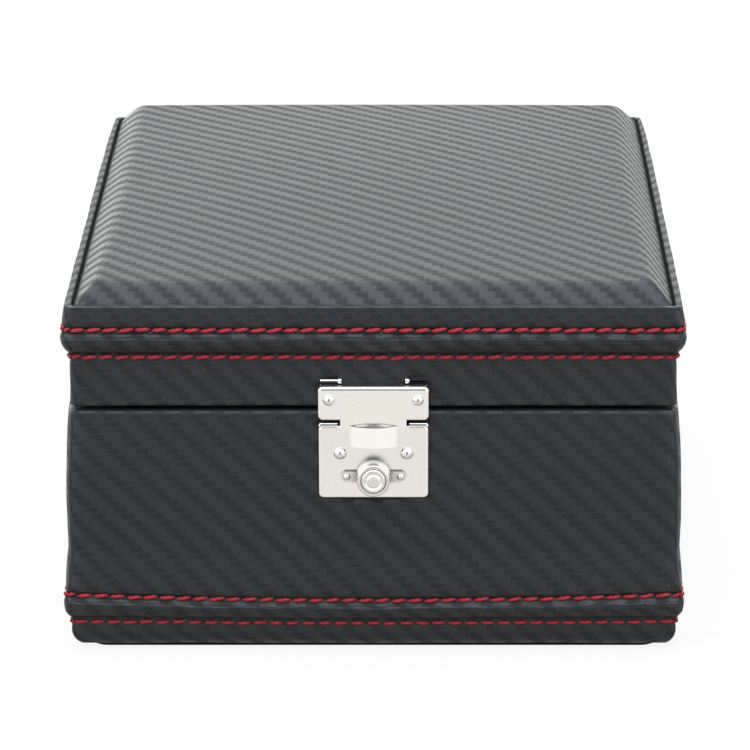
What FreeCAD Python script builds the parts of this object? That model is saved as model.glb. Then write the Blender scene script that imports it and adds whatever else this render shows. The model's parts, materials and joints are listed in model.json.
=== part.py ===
import FreeCAD, Part
import Sketcher
import math
import os
import re

# Watch box: fibreboard carcass wrapped in padded leatherette, hinged lid with a padded top,
# velvet compartments with cushions, and a push-button hasp lock at the front.
# The origin is the middle of the felt under the box; +Z is up and the lock faces -Y.
# Outward distances on the sides are counted from the outside face of the boards.

SIZES = (
    # carcass boards
    ("box_width", 162, "boards, outside faces, across"),
    ("box_depth", 200, "boards, outside faces, front to back"),
    ("wall_board", 7, "thickness of the base walls"),
    ("floor_board", 4, "thickness of the floor"),
    ("board_corner", 3, "rounding of the upright corners"),
    ("base_rim", 69.9, "top of the wrapped base wall above the table"),
    # leatherette and padding of the base
    ("skin", 1.5, "leatherette with its backing"),
    ("plinth_padding", 1, "foam at the foot"),
    ("plinth_round", 2.2, "rounding under the foot"),
    ("notch_height", 9, "seam under the base roll, above the table"),
    ("roll_padding", 3.2, "foam at the crest of the base roll"),
    ("roll_height", 13.8, "crest of the base roll, above the table"),
    ("valley_padding", 1.8, "foam where the roll meets the wall"),
    ("valley_height", 29.3, "where the roll meets the wall, above the table"),
    ("wall_swell", 0.6, "swell of the padded wall over its chord"),
    ("rim_padding", 0.5, "foam at the rim"),
    ("rim_round", 1.2, "rounding of the rim"),
    ("turn_under", 14, "leatherette turned under the foot"),
    ("felt_thick", 1.7, "felt under the base"),
    ("felt_inset", 4.7, "felt edge behind the foot"),
    ("felt_corner", 5, "rounding of the felt's corners"),
    # velvet inside
    ("lining", 2, "velvet-covered lining board"),
    ("lining_round", 0.8, "rounding of the lining's top edge"),
    ("lip", 5, "lining above the base rim"),
    ("lip_clearance", 0.8, "lining to lid frame"),
    ("floor_card", 1.5, "velvet-covered card on the floor"),
    ("divider", 3, "divider thickness"),
    ("divider_height", 42, "dividers above the floor card"),
    ("divider_gap", 0.1, "divider to lining and half-lap play"),
    ("cushion_gap", 1.5, "cushion to compartment wall"),
    ("cushion_height", 46, "watch cushion, crown above the floor card"),
    ("cushion_crown", 9, "rise of the cushion's top"),
    ("cushion_swell", 3.5, "swell of the cushion's sides"),
    ("cushion_draw", 3, "cushion ends drawn in"),
    # lid
    ("seam", 1, "gap between base and lid"),
    ("lid_height", 28.9, "lid, lower edge to rim"),
    ("lid_edge_round", 0.9, "rounding of the lid's lower edge"),
    ("lid_notch", 14.6, "seam under the lid roll, above the lid's lower edge"),
    ("lid_roll_rise", 4.8, "crest of the lid roll above its seam"),
    ("lid_roll_padding", 2.5, "foam at the crest of the lid roll"),
    ("lid_roll_length", 11.7, "height of the foam in the lid roll"),
    ("rim_lip", 2.6, "thickness of the lid's rim"),
    ("rim_edge_round", 0.5, "rounding of the lid's rim"),
    ("lid_board", 4, "lid panel"),
    ("pillow_seat", 2, "lid panel below the rim"),
    ("groove", 0.6, "rim to pillow"),
    ("pillow_corner", 1.4, "rounding of the pillow's corners"),
    ("pillow_edge", 1.7, "upright edge of the pillow"),
    ("bevel_width", 5, "bevel round the pillow"),
    ("bevel_rise", 6.9, "height of the bevel"),
    ("pillow_crown", 2.4, "rise of the pillow inside its crease"),
    ("inner_pad", 13, "velvet pad inside the lid"),
    ("inner_pad_gap", 1, "velvet pad to lid frame"),
    ("inner_pad_edge", 5, "rounded edge of the velvet pad"),
    # back hinges
    ("hinge_spacing", 96, "middle of one hinge to the other"),
    ("hinge_width", 24, "hinge along its pin"),
    ("leaf_thick", 1, "hinge leaf"),
    ("leaf_height", 10, "hinge leaf below its knuckles"),
    ("leaf_corner", 1.5, "rounding of the leaf's corners"),
    ("knuckle", 1.9, "knuckle radius"),
    ("knuckle_gap", 0.25, "between knuckles"),
    ("hinge_pin", 0.9, "pin radius"),
    ("running_gap", 0.05, "pin to bore"),
    ("swing_gap", 0.3, "moving metal to its neighbour"),
    ("screw_spacing", 14, "screws along a leaf"),
    ("screw_head", 1.5, "screw head radius"),
    ("screw_crown", 0.7, "screw head height"),
    ("screw_shank", 0.8, "screw shank radius"),
    ("screw_reach", 4, "screw into the board"),
    # lock
    ("sheet", 0.8, "nickel sheet"),
    ("lock_seat", 2, "seat of the lock plate, pressed into the padding"),
    ("lock_width", 30, "lock plate across"),
    ("lock_drop", 23.9, "lock plate's lower edge below the base rim"),
    ("lock_tall", 20.8, "lock plate's height"),
    ("lock_deep", 3, "lock plate's depth with its flanges"),
    ("lock_corner", 1.4, "rounding of the plate's corners"),
    ("lock_edge", 0.6, "rounding of the plate's front edge"),
    ("seat_gap", 0.2, "lock plate to the padding round it"),
    ("mortise_half", 8, "half width of the lock's recess in the wall"),
    ("mortise_deep", 5, "lock's recess in the wall board"),
    ("mortise_tall", 16.5, "height of the lock's recess"),
    ("nail_spread", 9.1, "plate nails from the middle"),
    ("nail_rise", 12.9, "plate nails above the plate's lower edge"),
    ("nail_head", 1.8, "plate nail head radius"),
    ("nail_crown", 1.2, "plate nail head height"),
    ("nail_shank", 0.7, "plate nail shank radius"),
    ("button_rise", 6.4, "button above the plate's lower edge"),
    ("button", 3.35, "button radius"),
    ("button_gap", 0.15, "button to its bore"),
    ("button_proud", 5, "button in front of the plate"),
    ("button_travel", 2, "travel of the button"),
    ("button_ring", 2, "ring pressed in the button's face, radius"),
    ("button_stem", 1.2, "button's stem radius"),
    ("stem_reach", 2.3, "button's stem past the board's face"),
    ("collar", 4.9, "collar radius at the plate"),
    ("collar_lip", 4.5, "collar radius at its lip"),
    ("collar_tall", 4.6, "collar in front of the plate"),
    ("ear_spread", 7.35, "collar ears from the middle"),
    ("ear", 1.55, "collar ear radius"),
    ("ear_thick", 0.9, "collar ear thickness"),
    ("rivet_head", 0.95, "collar rivet head radius"),
    ("rivet_crown", 0.6, "collar rivet head height"),
    ("rivet_shank", 0.45, "collar rivet shank radius"),
    ("catch_half", 6, "half width of the catch"),
    ("catch_bar", 1.4, "lower bar of the catch"),
    ("catch_play", 0.1, "catch to the button's cone"),
    ("hook_gap", 0.4, "catch to hook"),
    ("nose_half", 3, "half width of the catch's nose"),
    ("spring_strip", 0.3, "leaf spring thickness"),
    ("spring_half", 6, "half length of the leaf spring"),
    ("spring_wide", 4, "leaf spring width"),
    # hasp
    ("hasp_width", 30.4, "hasp across"),
    ("hasp_drop", 1.4, "hasp plate's lower edge below the base rim"),
    ("hasp_tall", 9.7, "hasp plate's height"),
    ("hasp_deep", 3.2, "hasp plate's depth with its flanges"),
    ("hasp_edge", 1, "rounding of the hasp's front edge"),
    ("hasp_air", 0.1, "hasp in front of the lock plate"),
    ("shoulder_half", 9, "half width of the hasp's tongue"),
    ("shoulder_drop", 2.6, "tongue below the hasp plate"),
    ("hood_half", 6.8, "half width of the thumb hood"),
    ("hood_drop", 8.6, "thumb hood's lower edge below the base rim"),
    ("hood_tall", 5.8, "thumb hood's height"),
    ("hood_side", 0.7, "upright side of the thumb hood"),
    ("hood_rise", 2.4, "thumb hood's bow"),
    ("hasp_rivet_spread", 12.1, "hasp rivets from the middle"),
    ("hasp_rivet_rise", 5.9, "hasp rivets above the hasp plate's edge"),
    ("hasp_rivet_head", 1.6, "hasp rivet head radius"),
    ("hasp_rivet_crown", 1, "hasp rivet head height"),
    ("hasp_rivet_shank", 0.6, "hasp rivet shank radius"),
    ("hook_half", 4, "half width of the hook"),
    ("hook_bar_half", 13.8, "half length of the hook's bar"),
    ("hook_bar_tall", 3, "height of the hook's bar"),
    ("hook_drop", 5.1, "hook below the lock plate's upper edge"),
    ("hook_toe", 1.8, "hook's toe behind the plate"),
    ("notch_gap", 1, "hook to the plate's notch"),
    ("hasp_axis_out", 3.3, "hasp's axis in front of the boards"),
    ("hasp_axis_rise", 10.65, "hasp's axis above the hasp plate's lower edge"),
    ("barrel", 0.95, "hasp barrel radius"),
    ("barrel_long", 4.6, "hasp barrel length"),
    ("barrel_inner", 9.8, "hasp barrel's inner end from the middle"),
    ("hasp_pin", 0.45, "hasp pin radius"),
    ("bracket_ear", 0.75, "bracket ear radius"),
    ("bracket_rise", 1.9, "bracket above the lid's lower edge"),
    ("bracket_screw_spread", 5, "bracket screws from the middle"),
    ("bracket_screw_rise", 4, "bracket screws above the lid's lower edge"),
)

# Places that follow from the sizes.
PLACES = (
    ("half_width", "box_width/2"),
    ("half_depth", "box_depth/2"),
    ("wall_foot", "felt_thick+skin"),
    ("wall_top", "base_rim-skin"),
    ("floor_top", "wall_foot+floor_board"),
    ("card_top", "floor_top+floor_card"),
    ("lining_half", "half_width-wall_board"),
    ("lining_deep", "half_depth-wall_board"),
    ("room_half", "lining_half-lining"),
    ("room_deep", "lining_deep-lining"),
    ("lid_foot", "base_rim+seam"),
    ("lid_rim", "lid_foot+lid_height"),
    ("rail_foot", "lid_foot+skin"),
    ("rail", "wall_board-lip_clearance"),
    ("pillow_foot", "lid_rim-pillow_seat"),
    ("rail_top", "pillow_foot-lid_board"),
    ("lid_seam", "lid_foot+lid_notch"),
    ("lid_crest", "lid_seam+lid_roll_rise"),
    ("row_deep", "(2*room_deep-2*divider)/3"),
    ("row_line", "(row_deep+divider)/2"),
    ("column_wide", "(2*room_half-divider)/2"),
    ("divider_top", "card_top+divider_height"),
    ("half_lap", "card_top+divider_height/2"),
    ("hinge_axis", "base_rim+seam/2"),
    ("hinge_out", "skin+knuckle+2*running_gap"),
    ("bore", "hinge_pin+running_gap"),
    ("leaf_end", "knuckle+swing_gap"),
    ("plate_face", "lock_seat+lock_deep"),
    ("plate_back", "plate_face-sheet"),
    ("lock_foot", "base_rim-lock_drop"),
    ("lock_top", "lock_foot+lock_tall"),
    ("button_line", "lock_foot+button_rise"),
    ("button_bore", "button+button_gap"),
    ("button_face", "plate_face+button_proud"),
    ("hasp_foot", "base_rim-hasp_drop"),
    ("hood_foot", "base_rim-hood_drop"),
    ("hasp_back", "plate_face+hasp_air"),
    ("hasp_face", "hasp_back+sheet"),
    ("hasp_axis", "hasp_foot+hasp_axis_rise"),
    ("hook_foot", "lock_top-hook_drop"),
    ("nose_top", "hook_foot-hook_gap"),
    ("mortise_foot", "lock_foot+seat_gap"),
    ("cone_lead", "button_travel/2"),
    ("catch_face", "sheet"),
    ("cone_radius", "button-button_travel/2-catch_play"),
)

doc = FreeCAD.newDocument("watch_box")
sizes = doc.addObject("Spreadsheet::Sheet", "sizes")
places = doc.addObject("Spreadsheet::Sheet", "places")
sheet_of = {alias: "sizes." + alias for alias, number, note in SIZES}
sheet_of.update({alias: "places." + alias for alias, rule in PLACES})
pieces = []


def cell(rule):
    """Write a rule in plain size names as an expression on the two sheets."""
    return re.sub(r"[a-z_]+", lambda word: sheet_of.get(word.group(), word.group()), str(rule))


def number(rule):
    """Value of a rule, in millimetres."""
    return float(sizes.evalExpression(cell(rule)))


def fill_sheets():
    """Put the driving sizes and the places that follow from them into their sheets."""
    for row, (alias, value, note) in enumerate(SIZES, 1):
        sizes.set(f"A{row}", note)
        sizes.set(f"B{row}", str(value))
        sizes.setAlias(f"B{row}", alias)
    doc.recompute()
    for row, (alias, rule) in enumerate(PLACES, 1):
        places.set(f"B{row}", "=" + cell(rule))
        places.setAlias(f"B{row}", alias)
        doc.recompute()


def bind(item, **rules):
    """Tie properties of an object to the sheets."""
    for name, rule in rules.items():
        item.setExpression(name.replace("__", "."), cell(rule))


def keep(item, label):
    """Name a finished piece and list it for writing."""
    item.Label = label
    pieces.append(item)
    return item


def new_body(name):
    """An empty body, drawn in the frame of the box."""
    return doc.addObject("PartDesign::Body", name)


def sketch_on(body, plane, offset="0"):
    """A sketch on one of the body's own planes, moved along the plane's normal."""
    sketch = body.newObject("Sketcher::SketchObject", body.Name + "_sketch")
    support = [item for item in body.Origin.OriginFeatures if item.Role == plane]
    sketch.AttachmentSupport = [(support[0], "")]
    sketch.MapMode = "FlatFace"
    bind(sketch, AttachmentOffset__Base__z=offset)
    return sketch


def draw(sketch, *corners):
    """Draw a closed outline through corners placed from the sketch's origin.

    A corner is (x, y) where a straight line arrives, or (x, y, radius, side) where an arc does.
    The arc bulges to the right of the way it is drawn when side is 1, to the left when it is -1.
    """
    points = [FreeCAD.Vector(number(corner[0]), number(corner[1]), 0) for corner in corners]
    edges = []
    for index, corner in enumerate(corners):
        start = points[index - 1]
        end = points[index]
        if len(corner) == 2:
            edges.append(Part.LineSegment(start, end))
            continue
        chord = end - start
        radius = number(corner[2])
        rise = radius - math.sqrt(max(radius ** 2 - chord.Length ** 2 / 4, 0))
        right = FreeCAD.Vector(chord.y, -chord.x, 0).normalize()
        edges.append(Part.Arc(start, (start + end) / 2 + right * (corner[3] * rise), end))
    names = sketch.addGeometry(edges, False)
    heads = []
    tails = []
    for index, name in enumerate(names):
        forward = sketch.getPoint(name, 1).distanceToPoint(points[index - 1]) < 1e-6
        heads.append((name, 1 if forward else 2))
        tails.append((name, 2 if forward else 1))
    for index, corner in enumerate(corners):
        follower = heads[(index + 1) % len(corners)]
        sketch.addConstraint(Sketcher.Constraint("Coincident", *tails[index], *follower))
        for axis, line, rule in (("DistanceX", -2, corner[0]), ("DistanceY", -1, corner[1])):
            if str(rule) == "0":
                sketch.addConstraint(Sketcher.Constraint("PointOnObject", *tails[index], line))
                continue
            made = Sketcher.Constraint(axis, -1, 1, *tails[index], number(rule))
            sketch.setExpression(f"Constraints[{sketch.addConstraint(made)}]", cell(rule))
        if len(corner) > 2:
            made = Sketcher.Constraint("Radius", names[index], number(corner[2]))
            sketch.setExpression(f"Constraints[{sketch.addConstraint(made)}]", cell(corner[2]))
    return sketch


def draw_circle(sketch, across, up, radius):
    """Draw a circle placed from the sketch's origin."""
    middle = FreeCAD.Vector(number(across), number(up), 0)
    name = sketch.addGeometry(Part.Circle(middle, FreeCAD.Vector(0, 0, 1), number(radius)), False)
    for axis, line, rule in (("DistanceX", -2, across), ("DistanceY", -1, up)):
        if str(rule) == "0":
            sketch.addConstraint(Sketcher.Constraint("PointOnObject", name, 3, line))
            continue
        made = Sketcher.Constraint(axis, -1, 1, name, 3, number(rule))
        sketch.setExpression(f"Constraints[{sketch.addConstraint(made)}]", cell(rule))
    made = Sketcher.Constraint("Radius", name, number(radius))
    sketch.setExpression(f"Constraints[{sketch.addConstraint(made)}]", cell(radius))
    return sketch


def rectangle(left, low, right, high):
    """Corners of a rectangle, counter-clockwise."""
    return (left, low), (right, low), (right, high), (left, high)


def rounded(left, low, right, high, radius):
    """Corners of a rectangle with four round corners, counter-clockwise."""
    return (
        (f"{right}-({radius})", low), (right, f"{low}+({radius})", radius, 1),
        (right, f"{high}-({radius})"), (f"{right}-({radius})", high, radius, 1),
        (f"{left}+({radius})", high), (left, f"{high}-({radius})", radius, 1),
        (left, f"{low}+({radius})"), (f"{left}+({radius})", low, radius, 1))


def centred(half_x, half_y, radius):
    """Corners of a round-cornered rectangle about the origin."""
    return rounded(f"-({half_x})", f"-({half_y})", half_x, half_y, radius)


def bow(across, up):
    """Radius of an arc that leaves a crest level and falls by across over a height of up."""
    return f"(({across})^2+({up})^2)/(2*({across}))"


def swell(across, up, rise):
    """Radius of an arc that rises over its chord."""
    return f"(({across})^2+({up})^2)/(8*({rise}))+({rise})/2"


def pad(body, sketch, length, back=False):
    """Extrude a sketch along its plane's normal, or the other way."""
    feature = body.newObject("PartDesign::Pad", body.Name + "_pad")
    feature.Profile = sketch
    feature.Reversed = back
    bind(feature, Length=length)
    return feature


def pocket(body, sketch, length, ahead=False):
    """Cut a sketch against its plane's normal, or along it, and see that it cut."""
    doc.recompute()
    before = body.Shape.Volume
    feature = body.newObject("PartDesign::Pocket", body.Name + "_pocket")
    feature.Profile = sketch
    feature.Reversed = ahead
    bind(feature, Length=length)
    doc.recompute()
    if not body.Shape.Volume < before:
        raise ValueError(f"nothing was cut from {body.Name}")
    return feature


def revolve(body, sketch):
    """Turn a sketch about its own upright axis."""
    feature = body.newObject("PartDesign::Revolution", body.Name + "_revolution")
    feature.Profile = sketch
    feature.ReferenceAxis = (sketch, ["V_Axis"])
    feature.Angle = 360
    return feature


def round_edges(body, radius, chosen):
    """Fillet the edges of the body whose ends all pass a test."""
    doc.recompute()
    tip = body.Tip
    names = []
    for index, edge in enumerate(tip.Shape.Edges, 1):
        if all(chosen(vertex.Point) for vertex in edge.Vertexes):
            names.append(f"Edge{index}")
    feature = body.newObject("PartDesign::Fillet", body.Name + "_fillet")
    feature.Base = (tip, names)
    bind(feature, Radius=radius)
    return feature


def box(name, left, front, low, right, back, high):
    """A board between six planes."""
    item = doc.addObject("Part::Box", name)
    bind(item, Length=f"({right})-({left})", Width=f"({back})-({front})", Height=f"({high})-({low})")
    bind(item, Placement__Base__x=left, Placement__Base__y=front, Placement__Base__z=low)
    return item


def group(name, members):
    """Like pieces that share one node."""
    item = doc.addObject("Part::Compound", name)
    item.Links = members
    return keep(item, name)


def face_front(body, across="0", up="0"):
    """Stand a body on the front of the boards: its x goes right, its y up and its z out of the box."""
    body.Placement.Rotation = FreeCAD.Rotation(FreeCAD.Vector(1, 0, 0), 90)
    bind(body, Placement__Base__x=across, Placement__Base__y="-half_depth", Placement__Base__z=up)


def face_back(body, across="0", up="0"):
    """Stand a body on the back of the boards: its x goes left, its y up and its z out of the box."""
    body.Placement.Rotation = FreeCAD.Rotation(FreeCAD.Vector(0, 1, 1), 180)
    bind(body, Placement__Base__x=across, Placement__Base__y="half_depth", Placement__Base__z=up)


def ring(name, *profile):
    """Sweep a side profile, drawn outward from the boards, round the box."""
    body = new_body(name)
    spine = draw(
        sketch_on(body, "XY_Plane"),
        ("half_width", "half_depth-board_corner"),
        ("half_width-board_corner", "half_depth", "board_corner", 1),
        ("-half_width+board_corner", "half_depth"),
        ("-half_width", "half_depth-board_corner", "board_corner", 1),
        ("-half_width", "-half_depth+board_corner"),
        ("-half_width+board_corner", "-half_depth", "board_corner", 1),
        ("half_width-board_corner", "-half_depth"),
        ("half_width", "-half_depth+board_corner", "board_corner", 1),
        ("half_width", "0"))
    section = sketch_on(body, "XZ_Plane")
    draw(section, *[(f"half_width+({corner[0]})", *corner[1:]) for corner in profile])
    doc.recompute()
    pipe = body.newObject("PartDesign::AdditivePipe", name + "_pipe")
    pipe.Profile = section
    pipe.Spine = (spine, [f"Edge{index}" for index in range(1, 10)])
    return body


def frame(body, low, thick, inset_x, inset_y, reach):
    """A flat band of leatherette: its outside edge lies reach outside the boards."""
    band = sketch_on(body, "XY_Plane", low)
    draw(band, *centred(f"half_width+{reach}", f"half_depth+{reach}", f"board_corner+{reach}"))
    draw(band, *rectangle(f"-({inset_x})", f"-({inset_y})", inset_x, inset_y))
    pad(body, band, thick)


def end_board(name, side, thick, low, high):
    """Front (side -1) or back (side 1) board with its two rounded upright corners."""
    body = new_body(name)
    outline = sketch_on(body, "XY_Plane", low)
    corners = [
        ("-half_width", f"-half_depth+{thick}"),
        ("-half_width", "-half_depth+board_corner"),
        ("-half_width+board_corner", "-half_depth", "board_corner", 1),
        ("half_width-board_corner", "-half_depth"),
        ("half_width", "-half_depth+board_corner", "board_corner", 1),
        ("half_width", f"-half_depth+{thick}")]
    if side > 0:
        corners = [(f"-({corner[0]})", f"-({corner[1]})", *corner[2:]) for corner in corners]
    draw(outline, *corners)
    pad(body, outline, f"({high})-({low})")
    return keep(body, name)


def base_outline(layer):
    """Side of the base at a layer outside the boards, from the foot to the rim."""
    notch = f"{layer}+plinth_padding"
    crest = f"{layer}+roll_padding"
    valley = f"{layer}+valley_padding"
    rim = f"{layer}+rim_padding"
    lower = bow("roll_padding-plinth_padding", "roll_height-notch_height")
    upper = bow("roll_padding-valley_padding", "valley_height-roll_height")
    wall = swell("valley_padding-rim_padding", "wall_top-valley_height", "wall_swell")
    return notch, crest, valley, rim, lower, upper, wall


def base_carcass():
    """Boards, padding, leatherette and felt of the base."""
    front = end_board("base_front_wall", -1, "wall_board", "wall_foot", "wall_top")
    recess = sketch_on(front, "XZ_Plane", "half_depth")
    lock_recess(recess)
    pocket(front, recess, "mortise_deep")
    end_board("base_back_wall", 1, "wall_board", "wall_foot", "wall_top")
    for name, left, right in (("left", "-half_width", "-lining_half"), ("right", "lining_half", "half_width")):
        label = f"base_{name}_wall"
        keep(box(label, left, "-lining_deep", "wall_foot", right, "lining_deep", "wall_top"), label)
    keep(box("base_floor", "-lining_half", "-lining_deep", "wall_foot",
             "lining_half", "lining_deep", "floor_top"), "base_floor")

    notch, crest, valley, rim, lower, upper, wall = base_outline("0")
    foam = ring(
        "base_padding", ("0", "wall_foot"), (notch, "wall_foot"), (notch, "notch_height"),
        (crest, "roll_height", lower, 1), (valley, "valley_height", upper, 1),
        (rim, "wall_top", wall, 1), ("0", "wall_top"))
    recess = sketch_on(foam, "XZ_Plane", "half_depth")
    lock_recess(recess)
    pocket(foam, recess, "lock_seat", ahead=True)
    keep(foam, "base_padding")

    outer_notch, outer_crest, outer_valley, outer_rim = base_outline("skin")[:4]
    cover = ring(
        "base_cover", ("0", "felt_thick"), (f"{outer_notch}-plinth_round", "felt_thick"),
        (outer_notch, "felt_thick+plinth_round", "plinth_round", 1), (outer_notch, "notch_height"),
        (outer_crest, "roll_height", lower, 1), (outer_valley, "valley_height", upper, 1),
        (outer_rim, "base_rim-rim_round", swell("valley_padding-rim_padding",
                                                "base_rim-rim_round-valley_height", "wall_swell"), 1),
        (f"{outer_rim}-rim_round", "base_rim", "rim_round", 1), ("0", "base_rim"), ("0", "wall_top"),
        (rim, "wall_top"), (valley, "valley_height", wall, -1), (crest, "roll_height", upper, -1),
        (notch, "notch_height", lower, -1), (notch, "wall_foot"), ("0", "wall_foot"))
    frame(cover, "wall_top", "skin", "lining_half", "lining_deep", "0")
    frame(cover, "felt_thick", "skin", "half_width-turn_under", "half_depth-turn_under", "0")
    recess = sketch_on(cover, "XZ_Plane", "half_depth")
    lock_recess(recess)
    pocket(cover, recess, "lock_seat", ahead=True)
    seat = sketch_on(cover, "XZ_Plane", "half_depth+lock_seat")
    draw(seat, *rectangle("-lock_width/2-seat_gap", "lock_foot-seat_gap",
                          "lock_width/2+seat_gap", "lock_top+seat_gap"))
    pocket(cover, seat, "lock_deep", ahead=True)
    seats = sketch_on(cover, "XZ_Plane", "-half_depth-skin")
    for middle in ("-hinge_spacing/2", "hinge_spacing/2"):
        draw(seats, *rectangle(f"{middle}-hinge_width/2-seat_gap", "hinge_axis-leaf_end-leaf_height-seat_gap",
                               f"{middle}+hinge_width/2+seat_gap", "base_rim+seam"))
    pocket(cover, seats, "lock_deep")
    keep(cover, "base_cover")

    felt = new_body("base_pad")
    outline = sketch_on(felt, "XY_Plane")
    draw(outline, *centred("half_width+plinth_padding+skin-felt_inset",
                           "half_depth+plinth_padding+skin-felt_inset", "felt_corner"))
    pad(felt, outline, "felt_thick")
    keep(felt, "base_pad")


def lock_recess(sketch):
    """Outline of the recess behind the lock plate."""
    draw(sketch, *rectangle("-mortise_half", "mortise_foot", "mortise_half", "mortise_foot+mortise_tall"))


def lining_board(name, plane, start, length, near, far):
    """Velvet-covered board with a rounded top edge, drawn across and run along its wall."""
    body = new_body(name)
    section = sketch_on(body, plane, start)
    top = "base_rim+lip"
    draw(section, (near, "floor_top"), (far, "floor_top"), (far, f"{top}-lining_round"),
         (f"{far}-lining_round", top, "lining_round", 1), (f"{near}+lining_round", top),
         (near, f"{top}-lining_round", "lining_round", 1))
    pad(body, section, length)
    keep(body, name)


def interior():
    """Linings, dividers and cushions."""
    lining_board("lining_front", "YZ_Plane", "-lining_half", "2*lining_half", "-lining_deep", "-room_deep")
    lining_board("lining_back", "YZ_Plane", "-lining_half", "2*lining_half", "room_deep", "lining_deep")
    lining_board("lining_left", "XZ_Plane", "-room_deep", "2*room_deep", "-lining_half", "-room_half")
    lining_board("lining_right", "XZ_Plane", "-room_deep", "2*room_deep", "room_half", "lining_half")
    keep(box("floor_lining", "-room_half", "-room_deep", "floor_top", "room_half", "room_deep", "card_top"),
         "floor_lining")

    end = "room_deep-divider_gap"
    slot = "divider/2+divider_gap"
    divider = new_body("long_divider")
    outline = sketch_on(divider, "YZ_Plane", "-divider/2")
    draw(outline, (f"-({end})", "card_top"), (end, "card_top"), (end, "divider_top"),
         (f"row_line+{slot}", "divider_top"), (f"row_line+{slot}", "half_lap"),
         (f"row_line-({slot})", "half_lap"), (f"row_line-({slot})", "divider_top"),
         (f"-row_line+{slot}", "divider_top"), (f"-row_line+{slot}", "half_lap"),
         (f"-row_line-({slot})", "half_lap"), (f"-row_line-({slot})", "divider_top"),
         (f"-({end})", "divider_top"))
    pad(divider, outline, "divider")
    keep(divider, "long_divider")

    end = "room_half-divider_gap"
    for name, line in (("cross_divider_front", "row_line-divider/2"), ("cross_divider_back", "-row_line-divider/2")):
        divider = new_body(name)
        outline = sketch_on(divider, "XZ_Plane", line)
        draw(outline, (f"-({end})", "card_top"), (f"-({slot})", "card_top"), (f"-({slot})", "half_lap"),
             (slot, "half_lap"), (slot, "card_top"), (end, "card_top"),
             (end, "divider_top"), (f"-({end})", "divider_top"))
        pad(divider, outline, "divider")
        keep(divider, name)

    number_of = 0
    for row in ("-row_deep-divider", "0", "row_deep+divider"):
        for column in ("-(column_wide+divider)/2", "(column_wide+divider)/2"):
            number_of += 1
            cushion(f"watch_cushion_{number_of}", column, row)


def cushion(name, across, along):
    """Soft watch cushion: flat foot, swollen sides, crowned top, and ends drawn in."""
    body = new_body(name)
    long = "column_wide/2-cushion_gap"
    sections = []
    for offset, draw_in in ((f"-({long})", "cushion_draw"), ("0", "0"), (long, "cushion_draw")):
        half = f"row_deep/2-cushion_gap-cushion_swell-{draw_in}"
        shoulder = f"card_top+cushion_height-cushion_crown-{draw_in}"
        side = swell("0", f"cushion_height-cushion_crown-{draw_in}", "cushion_swell")
        crown = swell(f"2*({half})", "0", "cushion_crown")
        section = sketch_on(body, "YZ_Plane", offset)
        draw(section, (f"-({half})", "card_top", side, 1), (half, "card_top"),
             (half, shoulder, side, 1), (f"-({half})", shoulder, crown, 1))
        sections.append(section)
    doc.recompute()
    loft = body.newObject("PartDesign::AdditiveLoft", name + "_loft")
    loft.Profile = sections[0]
    loft.Sections = sections[1:]
    bind(body, Placement__Base__x=across, Placement__Base__y=along)
    keep(body, name)


def lid_case():
    """Frame, panel, roll and leatherette of the lid."""
    end_board("lid_front_rail", -1, "rail", "rail_foot", "rail_top")
    end_board("lid_back_rail", 1, "rail", "rail_foot", "rail_top")
    inner = "half_width-rail"
    deep = "half_depth-rail"
    for name, left, right in (("left", "-half_width", f"-({inner})"), ("right", inner, "half_width")):
        label = f"lid_{name}_rail"
        keep(box(label, left, f"-({deep})", "rail_foot", right, deep, "rail_top"), label)
    panel = new_body("lid_panel")
    outline = sketch_on(panel, "XY_Plane", "rail_top")
    draw(outline, *centred("half_width", "half_depth", "board_corner"))
    pad(panel, outline, "lid_board")
    keep(panel, "lid_panel")

    lower = bow("lid_roll_padding", "lid_roll_rise")
    upper = bow("lid_roll_padding", "lid_roll_length-lid_roll_rise")
    roll_end = "lid_seam+lid_roll_length"
    keep(ring("lid_roll", ("0", "lid_seam"), ("lid_roll_padding", "lid_crest", lower, 1),
              ("0", roll_end, upper, 1)), "lid_roll")

    crest = "skin+lid_roll_padding"
    flank = bow("skin+lid_roll_padding-rim_lip", "lid_rim-rim_edge_round-lid_crest")
    cover = ring(
        "lid_cover", ("0", "lid_foot"), ("skin-lid_edge_round", "lid_foot"),
        ("skin", "lid_foot+lid_edge_round", "lid_edge_round", 1), ("skin", "lid_seam"),
        (crest, "lid_crest", lower, 1), ("rim_lip", "lid_rim-rim_edge_round", flank, 1),
        ("rim_lip-rim_edge_round", "lid_rim", "rim_edge_round", 1), ("0", "lid_rim"), ("0", roll_end),
        ("lid_roll_padding", "lid_crest", upper, -1), ("0", "lid_seam", lower, -1))
    frame(cover, "lid_foot", "skin", inner, deep, "0")
    keep(cover, "lid_cover")


def loft_between(body, outlines, ruled):
    """Loft through level round-cornered rectangles given as (half_x, half_y, corner, height)."""
    sections = []
    for half_x, half_y, corner, height in outlines:
        sections.append(draw(sketch_on(body, "XY_Plane", height), *centred(half_x, half_y, corner)))
    doc.recompute()
    loft = body.newObject("PartDesign::AdditiveLoft", body.Name + "_loft")
    loft.Profile = sections[0]
    loft.Sections = sections[1:]
    loft.Ruled = ruled
    doc.recompute()


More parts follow.
